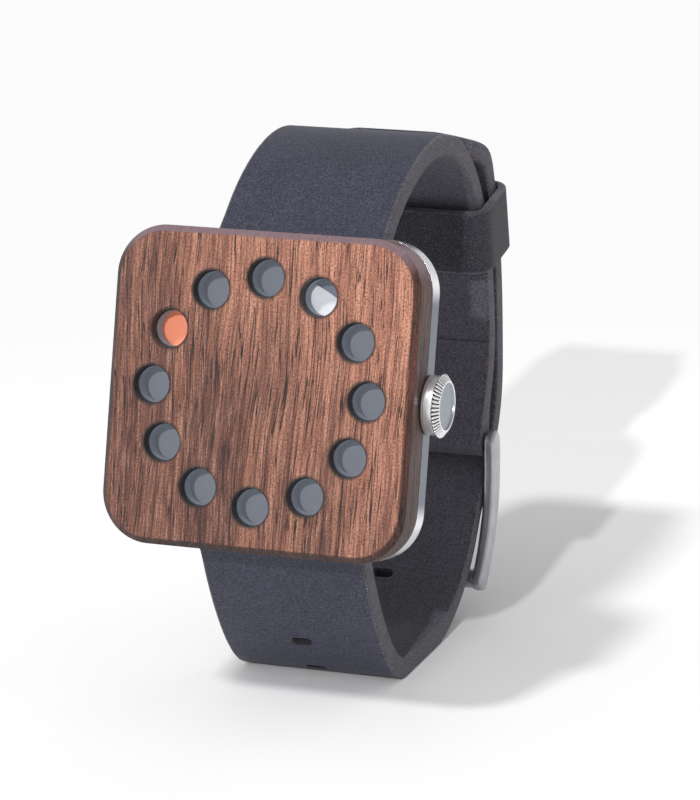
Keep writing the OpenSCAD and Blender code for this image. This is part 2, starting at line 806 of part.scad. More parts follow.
module cell_clip() {
    z = cell_z - cell_t - fit;
    foot_x = cell_at[0] + cell_d / 2 + 0.4;
    color("gold") posed() {
        translate([cell_at[0] - 2.4, cell_at[1] - 0.7, z - 0.15])
            cube([foot_x + 1.5 - cell_at[0] + 2.4, 1.4, 0.15]);
        translate([foot_x, cell_at[1] - 0.7, z - 0.15]) cube([1.5, 1.4, z_train - z + 0.15 - fit]);
    }
}

// Stem and crown
module along_stem(x) {
    translate([x, 0, -crown_depth]) rotate([0, 90, 0]) children();
}

module sliding_pinion() {
    length = pinion_x[1] - pinion_x[0];
    hole = stem_square + 0.08;
    color("gray") posed() along_stem(pinion_x[0]) difference() {
        rotate([0, 0, 15]) wheel(0.2, 10, length, length);
        translate([-hole / 2, -hole / 2, -eps]) cube([hole, hole, length + 2 * eps]);
    }
}

module stem() {
    color("gray") posed() {
        along_stem(stem_start) translate([-stem_square / 2, -stem_square / 2, 0])
            cube([stem_square, stem_square, 4.3]);
        along_stem(stem_start + 4.2) cylinder(h = stem_end - stem_start - 4.2, r = stem_r);
    }
}

// Ridged outline of the crown's rim
function ridges(n, r, depth) = [
    for (i = [0:n - 1])
        each [
            (r - depth) * dir(360 / n * (i - 0.3)),
            r * dir(360 / n * (i - 0.18)),
            r * dir(360 / n * (i + 0.18)),
            (r - depth) * dir(360 / n * (i + 0.3))
        ]
];

seal_from = crown_x + 0.2;
seal_l = 0.4;
bore_end = tube_end + 0.1;
module crown() {
    color("silver") posed() difference() {
        union() {
            along_stem(crown_x) cylinder(h = neck_l + 0.1, r = neck_r);
            along_stem(rim_x) linear_extrude(rim_l - crown_bevel + 0.05)
                polygon(ridges(crown_ridges, crown_r, ridge_depth));
            along_stem(crown_end - crown_bevel)
                cylinder(h = crown_bevel, r1 = crown_r - ridge_depth, r2 = crown_face_r);
        }
        along_stem(crown_end - crown_dish) cylinder(h = 1, r = crown_face_r - 0.25);
        along_stem(crown_x - eps) cylinder(h = bore_end - crown_x + eps, r = tube_r + 0.08);
        along_stem(seal_from) cylinder(h = seal_l, r = 1.62);
        along_stem(bore_end - eps) cylinder(h = stem_end - bore_end + eps, r = stem_r);
    }
}

module crown_gasket() {
    color("black") posed() along_stem(seal_from + fit) difference() {
        cylinder(h = seal_l - 2 * fit, r = 1.6);
        translate([0, 0, -eps]) cylinder(h = 1, r = tube_r + 0.05);
    }
}

module crown_tube() {
    start = sqrt(bore_r * bore_r - tube_r * tube_r) + 0.1;
    color("silver") posed() difference() {
        along_stem(start) cylinder(h = tube_end - start, r = tube_r - 0.01);
        along_stem(start - eps) cylinder(h = tube_end, r = stem_r + pivot_gap);
    }
}

// Spring bars: a tube with a narrower tip at each end
module spring_bar(p, half) {
    color("gray") {
        pin(p, -half, 2 * half, bar_r);
        pin(p, -half - bar_tip_l, 2 * (half + bar_tip_l), bar_tip_r);
    }
}

module upper_spring_bar() {
    spring_bar(upper_bar, lug_x - 0.1);
}

module lower_spring_bar() {
    spring_bar(lower_bar, lug_x - 0.1);
}

module buckle_spring_bar() {
    spring_bar(buckle_bar, side_x - 0.1);
}

// Leather
module leather(path) {
    across(-strap_w / 2, strap_w) polygon(band(path, strap_t));
}

module upper_strap() {
    color("darkslateblue") difference() {
        union() {
            leather(upper_path);
            pin(upper_bar, -strap_w / 2, strap_w, eye_r);
            pin(buckle_bar, -strap_w / 2, strap_w, eye_r);
        }
        pin(upper_bar, -strap_w, 2 * strap_w, eye_bore_r);
        pin(buckle_bar, -strap_w, 2 * strap_w, eye_bore_r);
        pin(buckle_bar, -tongue_w / 2 - 0.4, tongue_w + 0.8, eye_r + 0.6);
    }
}

// A slot right through the lower strap, at distance x along it
module slot(x) {
    p = point_at(lower_path, lower_s, x);
    r = slot_l / 2;
    translate([0, p[0], p[1]]) rotate([angle_at(lower_path, lower_s, x), 0, 0]) {
        for (s = [-1, 1])
            translate([s * (slot_w / 2 - r), 0, -strap_t]) cylinder(h = 2 * strap_t, r = r);
        translate([r - slot_w / 2, -r, -strap_t]) cube([slot_w - 2 * r, slot_l, 2 * strap_t]);
    }
}

// What is cut off one corner of the tip
module tip_corner(s) {
    translate([0, tip_at[0], tip_at[1]]) rotate([tip_angle, 0, 0])
        translate([s * (strap_w / 2 - tip_r), -tip_r, -2 * strap_t]) difference() {
            translate([s > 0 ? 0 : -tip_r - 1, 0, 0]) cube([tip_r + 1, tip_r + 1, 4 * strap_t]);
            translate([0, 0, -1]) cylinder(h = 4 * strap_t + 2, r = tip_r);
        }
}

module lower_strap() {
    color("darkslateblue") difference() {
        union() {
            leather(lower_path);
            pin(lower_bar, -strap_w / 2, strap_w, eye_r);
        }
        pin(lower_bar, -strap_w, 2 * strap_w, eye_bore_r);
        for (i = [-slots_down:slots_up])
            slot(tongue_s + i * slot_pitch);
        for (s = [-1, 1])
            tip_corner(s);
    }
}

module keeper() {
    outer_w = keeper_inner_w + 2 * keeper_t;
    outer_d = keeper_depth + 2 * keeper_t;
    r = 2.8;
    color("darkslateblue") translate([0, keeper_at[0], keeper_at[1]]) rotate([keeper_tilt, 0, 0])
        translate([0, keeper_shift, -keeper_half]) linear_extrude(keeper_w) difference() {
            union() {
                square([outer_w - 2 * r, outer_d], center = true);
                square([outer_w, outer_d - 2 * r], center = true);
                for (sx = [-1, 1], sy = [-1, 1])
                    translate([sx * (outer_w / 2 - r), sy * (outer_d / 2 - r)]) circle(r = r);
            }
            square([keeper_inner_w, keeper_depth], center = true);
        }
}

// Buckle
module buckle_frame() {
    color("silver") difference() {
        union() {
            for (x = [side_x, -side_x - side_w]) {
                across(x, side_w) polygon(band(side_path, side_t));
                pin(buckle_bar, x, side_w, side_t / 2);
                pin(end_bar, x, side_w, side_t / 2);
            }
            pin(end_bar, -side_x - 0.2, 2 * side_x + 0.4, end_bar_r);
        }
        pin(buckle_bar, -side_x - bar_tip_l - 0.1, 2 * (side_x + bar_tip_l + 0.1), bar_tip_r + 0.05);
    }
}

module buckle_tongue() {
    color("silver") difference() {
        union() {
            pin(buckle_bar, -tongue_w / 2, tongue_w, tongue_ring_r);
            across(-tongue_w / 2, tongue_w)
                polygon(band([buckle_bar, tongue_knee], tongue_t));
            pin(tongue_knee, -tongue_w / 2, tongue_w, tongue_t / 2);
            across(-tongue_w / 2, tongue_w)
                polygon(band([tongue_knee, tongue_tip], tongue_t));
            pin(tongue_tip, -tongue_w / 2, tongue_w, tongue_t / 2);
        }
        pin(buckle_bar, -tongue_w, 2 * tongue_w, eye_bore_r);
    }
}

wood_cover();
aperture_plate();
dial_plate();
minute_hand();
hour_hand();
cover_gasket();
case_frame();
case_back();
back_gasket();
back_screws();
movement_ring();
main_plate();
train_bridge();
bridge_screws();
cannon_pinion();
minute_wheel();
hour_wheel();
centre_wheel();
intermediate_wheel();
rotor();
stator();
coil();
circuit_board();
quartz_can();
button_cell();
cell_clip();
sliding_pinion();
stem();
crown();
crown_gasket();
crown_tube();
upper_spring_bar();
lower_spring_bar();
buckle_spring_bar();
upper_strap();
lower_strap();
keeper();
buckle_frame();
buckle_tongue();
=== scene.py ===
import math

import bmesh
import bpy
from mathutils import Matrix, Vector


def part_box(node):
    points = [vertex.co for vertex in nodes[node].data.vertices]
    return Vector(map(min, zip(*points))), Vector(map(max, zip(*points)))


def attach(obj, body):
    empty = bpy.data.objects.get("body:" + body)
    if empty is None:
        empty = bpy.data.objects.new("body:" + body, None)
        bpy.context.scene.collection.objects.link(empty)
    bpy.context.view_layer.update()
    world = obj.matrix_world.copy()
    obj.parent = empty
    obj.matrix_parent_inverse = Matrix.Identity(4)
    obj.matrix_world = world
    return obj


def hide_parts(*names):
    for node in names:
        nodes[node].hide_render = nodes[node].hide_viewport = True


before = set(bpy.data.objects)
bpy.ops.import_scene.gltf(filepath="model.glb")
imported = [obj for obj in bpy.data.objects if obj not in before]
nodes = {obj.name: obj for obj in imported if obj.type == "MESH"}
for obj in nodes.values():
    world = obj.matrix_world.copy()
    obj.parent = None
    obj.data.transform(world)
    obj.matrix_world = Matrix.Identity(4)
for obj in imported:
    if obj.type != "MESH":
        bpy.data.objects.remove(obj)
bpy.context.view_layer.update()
MM = 0.001

# Sizes in millimetres, as in the CAD source
LEAN = math.radians(14)
FACE_Y, FACE_Z = -31.9, 46.0
CASE_W, CASE_H, CASE_R, BEVEL = 42.4, 42.1, 6.8, 0.85
HOLE_R, HOLE_D = 15.0, 5.1
STRAP_W, STRAP_T = 23.55, 2.9
MID = STRAP_T / 2
# the eyes round the spring bars, the folded flap behind the buckle and the strap's soft edges
EYE_R, EYE_HOLE_R, FOLD_L = MID + 0.75, 0.88, 7.0
TONGUE_CUT_R = EYE_R + 0.6
FLAP_L, FLAP_T = 14.7, 0.25
EDGE_R, TIP_R = 0.35, 8.0
SLOT_W, SLOT_L, SLOT_PITCH = 3.2, 1.6, 7.15
SLOTS_DOWN, SLOTS_UP = 8, 3
KEEPER_W, KEEPER_T, KEEPER_TILT = 9.4, 1.3, math.radians(11)
KEEPER_OUTER_R, KEEPER_INNER_R, KEEPER_RIM = 3.0, 0.8, 0.3
# the buckle's side bars, its end bar and the sockets of its spring bar
SIDE_W, SIDE_T, SIDE_ROUND, SIDE_GAP, BOW = 1.6, 3.3, 0.45, 0.32, 2.2
END_BAR_R, END_BAR_SINK = 1.4, 0.2
SOCKET_R, SOCKET_L = 0.55, 0.95
TONGUE_W, TONGUE_T, TONGUE_RING, TONGUE_GAP = 2.2, 0.8, 1.7, 0.4
TONGUE_BEND_R, TONGUE_TIP_L = 0.9, 1.2
CROWN_X, CROWN_DEPTH = CASE_W / 2 + 0.2, 6.9
CROWN_R, CROWN_NECK_R, CROWN_NECK_L, CROWN_L = 4.2, 3.95, 1.5, 2.4
CROWN_BEVEL, CROWN_DISH, CROWN_RIDGES, RIDGE_DEPTH = 0.65, 0.25, 46, 0.22
CROWN_FACE_R = CROWN_R - 0.85
CROWN_DISC_R = CROWN_FACE_R - 0.3
TUBE_BORE_R, TUBE_BORE_L, STEM_R, STEM_BORE_L = 1.18, 1.6, 0.6, 1.95


def face_direction(x, y, z):
    """A direction given across, up and out of the dial, in the row frame."""
    back = y * math.sin(LEAN) - z * math.cos(LEAN)
    up = y * math.cos(LEAN) + z * math.sin(LEAN)
    return Vector((x, back, up))


def face_point(x, y, z):
    """A point given from the middle of the wood's face, in the row frame, both in millimetres."""
    return Vector((0, FACE_Y, FACE_Z)) + face_direction(x, y, z)


# Materials
# colour of the painted glow on the dial and on the walls of the plate's holes
PAINTED_GLOW_COLOUR = "6f747d"


def linear(c):
    """A linear value from one of a display colour's three parts."""
    return c / 12.92 if c <= 0.04045 else ((c + 0.055) / 1.055) ** 2.4


def rgb(code):
    """A linear colour from six hexadecimal digits."""
    return tuple(linear(int(code[i:i + 2], 16) / 255) for i in (0, 2, 4)) + (1.0,)


class Paint:
    """One node material. Every texture is three-dimensional and measured in millimetres."""

    def __init__(self, name):
        self.material = bpy.data.materials.new(name)
        self.material.use_nodes = True
        self.tree = self.material.node_tree
        self.tree.nodes.clear()
        self.out = self.node("OutputMaterial")
        self.shader = self.node("BsdfPrincipled")
        self.link(self.shader.outputs[0], self.out.inputs["Surface"])

    def node(self, kind, **values):
        made = self.tree.nodes.new("ShaderNode" + kind)
        for key, value in values.items():
            setattr(made, key, value)
        return made

    def link(self, a, b):
        self.tree.links.new(a, b)

    def put(self, value, socket):
        """Gives a socket a number, a colour or another node's output."""
        if isinstance(value, bpy.types.NodeSocket):
            self.link(value, socket)
        else:
            socket.default_value = value

    def flat(self, **values):
        """Sockets of the shader that are the same all over."""
        for key, value in values.items():
            self.shader.inputs[key.replace("_", " ")].default_value = value

    def coords(self, along_face=False):
        """Object coordinates in millimetres, in the row frame or along the dial's face."""
        source = self.node("TexCoord").outputs["Object"]
        mapping = self.node("Mapping")
        mapping.inputs["Scale"].default_value = (1000, 1000, 1000)
        self.link(source, mapping.inputs["Vector"])
        if not along_face:
            return mapping.outputs[0]
        shift = self.node("Mapping")
        shift.inputs["Location"].default_value = (0, -FACE_Y, -FACE_Z)
        self.link(mapping.outputs[0], shift.inputs["Vector"])
        turn = self.node("Mapping")
        turn.inputs["Rotation"].default_value = (LEAN - math.pi / 2, 0, 0)
        self.link(shift.outputs[0], turn.inputs["Vector"])
        return turn.outputs[0]

    def stretch(self, vector, x, y, z):
        mapping = self.node("Mapping")
        mapping.inputs["Scale"].default_value = (x, y, z)
        self.link(vector, mapping.inputs["Vector"])
        return mapping.outputs[0]

    def noise(self, vector, scale=1.0, detail=3.0, rough=0.55, distortion=0.0, colour=False):
        made = self.node("TexNoise")
        made.inputs["Scale"].default_value = scale
        made.inputs["Detail"].default_value = detail
        made.inputs["Roughness"].default_value = rough
        made.inputs["Distortion"].default_value = distortion
        self.link(vector, made.inputs["Vector"])
        return made.outputs["Color" if colour else "Fac"]

    def cells(self, vector, scale, feature):
        made = self.node("TexVoronoi", feature=feature)
        made.inputs["Scale"].default_value = scale
        self.link(vector, made.inputs["Vector"])
        return made.outputs["Distance"]

    def ramp(self, value, stops):
        """A colour or a grey level between stops. A stop is a place and a colour or a number."""
        made = self.node("ValToRGB")
        while len(made.color_ramp.elements) < len(stops):
            made.color_ramp.elements.new(0.5)
        for element, (at, colour) in zip(made.color_ramp.elements, stops):
            element.position = at
            element.color = (colour, colour, colour, 1) if isinstance(colour, float) else colour
        self.put(value, made.inputs["Fac"])
        return made.outputs["Color"]

    def step(self, value, low, high, a=0.0, b=1.0):
        """Smooth step of a value from a to b while it goes from low to high."""
        made = self.node("MapRange", interpolation_type="SMOOTHSTEP")
        for key, number in (("From Min", low), ("From Max", high), ("To Min", a), ("To Max", b)):
            made.inputs[key].default_value = number
        self.link(value, made.inputs["Value"])
        return made.outputs[0]

    def math(self, operation, *values):
        made = self.node("Math", operation=operation)
        for socket, value in zip(made.inputs, values):
            self.put(value, socket)
        return made.outputs[0]

    def vector_math(self, operation, *values, out=0):
        made = self.node("VectorMath", operation=operation)
        for socket, value in zip(made.inputs, values):
            self.put(value, socket)
        return made.outputs[out]

    def split(self, vector):
        made = self.node("SeparateXYZ")
        self.link(vector, made.inputs[0])
        return made.outputs

    def join(self, x, y, z):
        made = self.node("CombineXYZ")
        for socket, value in zip(made.inputs, (x, y, z)):
            self.put(value, socket)
        return made.outputs[0]

    def times(self, colour, code):
        """The colour multiplied by the colour that six hexadecimal digits give."""
        return self.mix(1.0, colour, rgb(code), "MULTIPLY")

    def outward(self, direction):
        """How far the surface faces a direction, from -1 to 1."""
        normal = self.node("NewGeometry").outputs["Normal"]
        return self.vector_math("DOT_PRODUCT", normal, direction, out=1)

    def mix(self, factor, a, b, mode="MIX"):
        made = self.node("Mix", data_type="RGBA", blend_type=mode)
        self.put(factor, made.inputs[0])
        self.put(a, made.inputs[6])
        self.put(b, made.inputs[7])
        return made.outputs[2]

    def height(self, value, depth, normal=None, strength=1.0):
        """Bump of a given depth in millimetres."""
        made = self.node("Bump")
        made.inputs["Strength"].default_value = strength
        made.inputs["Distance"].default_value = depth * MM
        self.link(value, made.inputs["Height"])
        if normal is not None:
            self.link(normal, made.inputs["Normal"])
        return made.outputs[0]

    def soft_edges(self, radius):
        made = self.node("Bevel")
        made.samples = 6
        made.inputs["Radius"].default_value = radius * MM
        return made.outputs[0]

    def finish(self, colour=None, rough=None, normal=None):
        if colour is not None:
            self.put(colour, self.shader.inputs["Base Color"])
        if rough is not None:
            self.put(rough, self.shader.inputs["Roughness"])
        if normal is not None:
            self.link(normal, self.shader.inputs["Normal"])
        return self.material


def hole_distance(paint, place):
    """Distance, along the face, from the middle of the nearest hour hole."""
    x, y, _ = paint.split(place)
    hour = paint.math("ROUND", paint.math("DIVIDE", paint.math("ARCTAN2", x, y), math.pi / 6))
    angle = paint.math("MULTIPLY", hour, math.pi / 6)
    dx = paint.math("SUBTRACT", x, paint.math("MULTIPLY", paint.math("SINE", angle), HOLE_R))
    dy = paint.math("SUBTRACT", y, paint.math("MULTIPLY", paint.math("COSINE", angle), HOLE_R))
    return paint.vector_math("LENGTH", paint.join(dx, dy, 0.0), out=1)


def edge_distance(paint, place):
    """Distance, along the face, inwards from the case's outline."""
    straight = (CASE_W / 2 - CASE_R, CASE_H / 2 - CASE_R, 0)
    flat = paint.vector_math("MULTIPLY", place, (1, 1, 0))
    q = paint.vector_math("SUBTRACT", paint.vector_math("ABSOLUTE", flat), straight)
    beyond = paint.vector_math("LENGTH", paint.vector_math("MAXIMUM", q, (0, 0, 0)), out=1)
    x, y, _ = paint.split(q)
    within = paint.math("MINIMUM", paint.math("MAXIMUM", x, y), 0.0)
    return paint.math("SUBTRACT", CASE_R, paint.math("ADD", beyond, within))


def thin_line(paint, value, core, width):
    """1 along the lines where a value is one half, fading to 0."""
    away = paint.math("ABSOLUTE", paint.math("SUBTRACT", value, 0.5))
    return paint.step(away, core, width, 1.0, 0.0)


def board_colour(p, at, at_grain, fibres):
    """The walnut's bands, streaks and fibres, under fine sanding marks."""
    bands = p.noise(p.stretch(at_grain, 0.22, 0.014, 0.16), 1.0, 3.0, 0.6)
    streaks = p.noise(p.stretch(at_grain, 0.9, 0.03, 0.6), 1.0, 4.0, 0.6)
    sand = p.noise(p.stretch(at, 1.0, 0.8, 1.0), 4.4, 3.0, 0.8)
    x, y, _ = p.split(at)
    colour = p.ramp(bands, [
        (0.32, rgb("694136")), (0.45, rgb("7d5143")), (0.58, rgb("8f5e4b")), (0.72, rgb("a8725b"))])
    # the board is lighter and more orange towards its upper right corner
    slope = p.math("ADD", p.math("MULTIPLY", x, 0.75), p.math("MULTIPLY", y, 0.58))
    colour = p.mix(p.math("MULTIPLY", p.step(slope, -8.0, 20.0), 0.78), colour, rgb("d59478"))
    colour = p.mix(p.step(streaks, 0.38, 0.6, 0.6, 0.0), colour, p.times(colour, "b39892"))
    colour = p.mix(p.step(streaks, 0.54, 0.72, 0.0, 0.25), colour, rgb("c98f72"))
    colour = p.mix(p.step(fibres, 0.36, 0.52, 0.55, 0.0), colour, p.times(colour, "8a6d66"))
    colour = p.mix(p.step(fibres, 0.52, 0.68, 0.0, 0.35), colour, rgb("dcaa92"))
    return p.mix(1.0, colour, p.ramp(sand, [(0.36, 0.28), (0.5, 0.8), (0.6, 1.06)]), "MULTIPLY")


def open_pores(p, at_grain):
    """Long thin lines that follow the grain where the wood is open, and short pores between them."""
    long_grain = p.noise(p.stretch(at_grain, 1.1, 0.024, 0.6), 1.0, 2.0, 0.5)
    fine_grain = p.noise(p.stretch(at_grain, 2.3, 0.06, 1.2), 1.0, 1.0, 0.5)
    short_pores = p.noise(p.stretch(at_grain, 6.0, 0.34, 4.0), 1.0, 1.0, 0.4)
    long_open = p.step(p.noise(p.stretch(at_grain, 0.5, 0.09, 0.5), 1.0, 2.0, 0.5), 0.4, 0.56, 0.25, 1.0)
    fine_open = p.step(p.noise(p.stretch(at_grain, 1.1, 0.16, 0.8), 1.0, 2.0, 0.5), 0.42, 0.56, 0.1, 1.0)
    long_line = p.math("MULTIPLY", thin_line(p, long_grain, 0.006, 0.016), long_open)
    fine_line = p.math("MULTIPLY", thin_line(p, fine_grain, 0.009, 0.024), fine_open)
    short_line = p.step(short_pores, 0.68, 0.72, 0.0, 0.6)
    return p.math("MAXIMUM", long_line, p.math("MAXIMUM", fine_line, short_line))


def bevel_and_sides(p, at, colour):
    """The sides are greyer and a little darker than the sanded face. The bevel and the sides are darker
    still: painted shade. Where they face up, a painted highlight lightens them.
    """
    _, _, depth = p.split(at)
    side = p.step(p.math("MULTIPLY", depth, -1.0), 0.04, 0.24)
    rim = p.step(edge_distance(p, at), BEVEL - 0.1, BEVEL + 0.1, 1.0, 0.0)
    upward = p.outward(face_direction(0, 1, 0))
    colour = p.mix(side, colour, p.times(colour, "bcacae"))
    # painted shade: the bevel and the sides darkened
    colour = p.mix(p.math("MULTIPLY", rim, 0.7), colour, p.times(colour, "7c706e"))
    # painted highlight where the bevel and the sides face up
    sheen = p.math("MULTIPLY", rim, p.step(upward, 0.2, 0.6, 0.0, 0.62))
    sheen = p.math("MULTIPLY", sheen, p.step(upward, 0.8, 0.95, 1.0, 0.2))
    return p.mix(sheen, colour, rgb("8f7880"))


def scorched_holes(p, at, colour):
    """Laser-cut holes: a scorched wall and a faint halo with an uneven edge."""
    uneven = p.math("MULTIPLY", p.math("SUBTRACT", p.noise(at, 1.6, 3.0), 0.5), 0.35)
    near = p.math("ADD", hole_distance(p, at), uneven)
    burnt = p.step(near, HOLE_D / 2 + 0.02, HOLE_D / 2 + 0.5, 1.0, 0.0)
    return p.mix(p.math("MULTIPLY", burnt, 0.86), colour, rgb("1d1513"))


def walnut():
    p = Paint("walnut")
    at = p.coords(along_face=True)
    bend = p.noise(p.stretch(at, 0.045, 0.03, 0.1), 1.0, 2.0, 0.5, colour=True)
    bend = p.vector_math("SUBTRACT", bend, (0.5, 0.5, 0.5))
    at_grain = p.vector_math("ADD", at, p.vector_math("MULTIPLY", bend, (3.0, 0.0, 2.0)))
    fibres = p.noise(p.stretch(at_grain, 3.2, 0.16, 2.2), 1.0, 4.0, 0.7)
    pore = open_pores(p, at_grain)
    colour = p.mix(pore, board_colour(p, at, at_grain, fibres), rgb("1c0d0a"))
    colour = scorched_holes(p, at, bevel_and_sides(p, at, colour))
    bump = p.height(pore, 0.06, p.height(fibres, 0.02, p.soft_edges(0.12)), 0.9)
    bump.node.invert = True
    p.flat(Specular_IOR_Level=0.4, Sheen_Weight=0.05)
    return p.finish(colour, p.step(fibres, 0.3, 0.7, 0.6, 0.46), bump)


def metal(name, colour, rough, brushed, edge, blotch=0.05, along_face=False, wear=0.0, corners=None):
    """Satin or brushed metal. brushed is how fine the scratches are along each axis, edge the radius of
    the softened edges, blotch how cloudy the colour is and wear how cloudy the shine is.
    The last argument is the colour of the case's rounded corners, lighter than its straight sides: painted
    reflection."""
    p = Paint(name)
    at = p.coords(along_face)
    lines = p.noise(p.stretch(at, *brushed), 1.0, 3.0, 0.6)
    cloud = p.noise(at, 0.35, 3.0, 0.6)
    base = p.mix(p.step(cloud, 0.3, 0.7), rgb(colour), p.mix(blotch * 3, rgb(colour), rgb("6f7076")))
    base = p.mix(p.step(lines, 0.35, 0.75, 0.0, 0.16), base, rgb("e8e8ea"))
    scratched = p.step(lines, 0.3, 0.7, rough - 0.05, rough + 0.07)
    shine = p.math("ADD", scratched, p.step(cloud, 0.3, 0.7, -wear, wear))
    # painted reflection: the rounded corners lighter than the straight sides
    if corners:
        straight = (CASE_W / 2 - CASE_R, CASE_H / 2 - CASE_R, 0)
        x, y, _ = p.split(p.vector_math("SUBTRACT", p.vector_math("ABSOLUTE", at), straight))
        turned = p.step(p.math("MINIMUM", x, y), -1.5, 1.5)
        base = p.mix(turned, base, rgb(corners))
        shine = p.math("SUBTRACT", shine, p.math("MULTIPLY", turned, 0.12))
    p.flat(Metallic=1.0)
    return p.finish(base, shine, p.height(lines, 0.003, p.soft_edges(edge), 0.8))


def moulded(name, colour, rough, grain, tint="000000"):
    """Moulded rubber or plastic, with a fine grain and clouds of a second colour."""
    p = Paint(name)
    at = p.coords()
    fine = p.noise(at, grain, 3.0, 0.6)
    broad = p.noise(at, 0.4, 2.0, 0.5)
    base = p.mix(p.step(broad, 0.3, 0.7, 0.0, 0.18), rgb(colour), rgb(tint))
    base = p.mix(p.step(fine, 0.5, 0.8, 0.0, 0.22), base, p.mix(0.5, rgb(colour), rgb("9a9a9c")))
    shine = p.step(fine, 0.3, 0.7, rough - 0.06, rough + 0.06)
    return p.finish(base, shine, p.height(fine, 0.01, p.soft_edges(0.08)))


def hour_plate():
    """The plate behind the wood. Its front is dark. Its holes' walls are painted lighter, like the dial,
    and glow: painted light that fills their shade.
    """
    p = Paint("smoked_plastic")
    at = p.coords(along_face=True)
    fine = p.noise(at, 8.0, 3.0, 0.6)
    front = p.step(p.outward(face_direction(0, 0, 1)), 0.4, 0.8)
    walls = p.mix(p.step(fine, 0.3, 0.7), rgb("7b828d"), rgb("929aa5"))
    p.flat(Specular_IOR_Level=0.3, Emission_Color=rgb(PAINTED_GLOW_COLOUR))
    # painted glow on the walls of the holes, none on the front
    painted_glow = p.math("MULTIPLY", p.math("SUBTRACT", 1.0, front), 0.27)
    p.put(painted_glow, p.shader.inputs["Emission Strength"])
    shine = p.step(fine, 0.3, 0.7, 0.58, 0.7)
    return p.finish(p.mix(front, walls, rgb("3d434b")), shine, p.height(fine, 0.006, p.soft_edges(0.05)))


def dial_paint():
    """Grey paint with a painted glow, so the discs stay even where the holes' rims shade them."""
    p = Paint("dial_metal")
    at = p.coords(along_face=True)
    fine = p.noise(at, 7.0, 3.0, 0.7)
    broad = p.noise(at, 0.5, 2.0, 0.5)
    base = p.mix(p.step(fine, 0.35, 0.7), rgb("6a6e78"), rgb("80848f"))
    base = p.mix(p.step(broad, 0.3, 0.7, 0.0, 0.25), base, rgb("6d717c"))
    p.flat(Specular_IOR_Level=0.3, Emission_Color=rgb(PAINTED_GLOW_COLOUR), Emission_Strength=0.45)
    return p.finish(base, p.step(fine, 0.3, 0.7, 0.55, 0.7), p.height(fine, 0.01, p.soft_edges(0.05)))


def lacquer(name, colour, dust, painted_glow=0.0):
    """Lacquer with a little dust. The last argument is a painted glow: light that the colour gives off, so
    that it stays bright in shade.
    """
    p = Paint(name)
    at = p.coords(along_face=True)
    fine = p.noise(at, 6.0, 3.0, 0.6)
    broad = p.noise(at, 0.5, 2.0, 0.5)
    base = p.mix(p.step(fine, 0.45, 0.8, 0.0, 0.3), rgb(colour), rgb(dust))
    base = p.mix(p.step(broad, 0.3, 0.7, 0.0, 0.12), base, rgb(dust))
    p.flat(Coat_Weight=0.15, Emission_Color=rgb(colour), Emission_Strength=painted_glow)
    return p.finish(base, p.step(fine, 0.3, 0.7, 0.42, 0.55), p.height(fine, 0.006, p.soft_edges(0.04)))


def crown_metal():
    """Polished crown with a brushed neck and a grained grey disc sunk in its end."""
    p = Paint("crown_metal")
    at = p.coords(along_face=True)
    x, y, z = p.split(at)
    out = p.vector_math("LENGTH", p.join(0.0, y, p.math("ADD", z, CROWN_DEPTH)), out=1)
    turned = p.noise(p.join(p.math("MULTIPLY", out, 14.0), p.math("MULTIPLY", x, 6.0), 0.0), 1.0, 3.0, 0.6)
    grain = p.noise(at, 9.0, 3.0, 0.6)
    sunk = CROWN_X + CROWN_L - CROWN_DISH
    neck_end = CROWN_X + CROWN_NECK_L
    within = p.step(out, CROWN_DISC_R + 0.01, CROWN_DISC_R + 0.05, 1.0, 0.0)
    disc = p.math("MULTIPLY", within, p.step(x, sunk - 0.1, sunk - 0.05))
    neck = p.step(x, neck_end - 0.05, neck_end, 1.0, 0.0)
    base = p.mix(p.step(turned, 0.3, 0.7), rgb("e4e4e6"), rgb("f6f6f6"))
    base = p.mix(disc, base, p.mix(grain, rgb("8f959e"), rgb("a9aeb6")))
    base = p.mix(neck, base, p.mix(turned, rgb("dad9dc"), rgb("f0efee")))
    rough = p.math("ADD", p.step(turned, 0.3, 0.7, 0.14, 0.2), p.math("MULTIPLY", disc, 0.24))
    rough = p.math("ADD", rough, p.math("MULTIPLY", neck, 0.12))
    metallic = p.math("SUBTRACT", 1.0, p.math("MULTIPLY", neck, 0.2))
    p.put(metallic, p.shader.inputs["Metallic"])
    return p.finish(base, rough, p.height(p.mix(disc, turned, grain), 0.003, p.soft_edges(0.04)))


def painted_knurl_shade():
    """Dark metal at the bottom of the crown's grooves: painted shade."""
    p = Paint("painted_knurl_shade")
    fine = p.noise(p.coords(), 9.0, 3.0, 0.6)
    p.flat(Metallic=0.6)
    return p.finish(p.mix(fine, rgb("0b0b0d"), rgb("1f1f23")), p.step(fine, 0.3, 0.7, 0.4, 0.6))


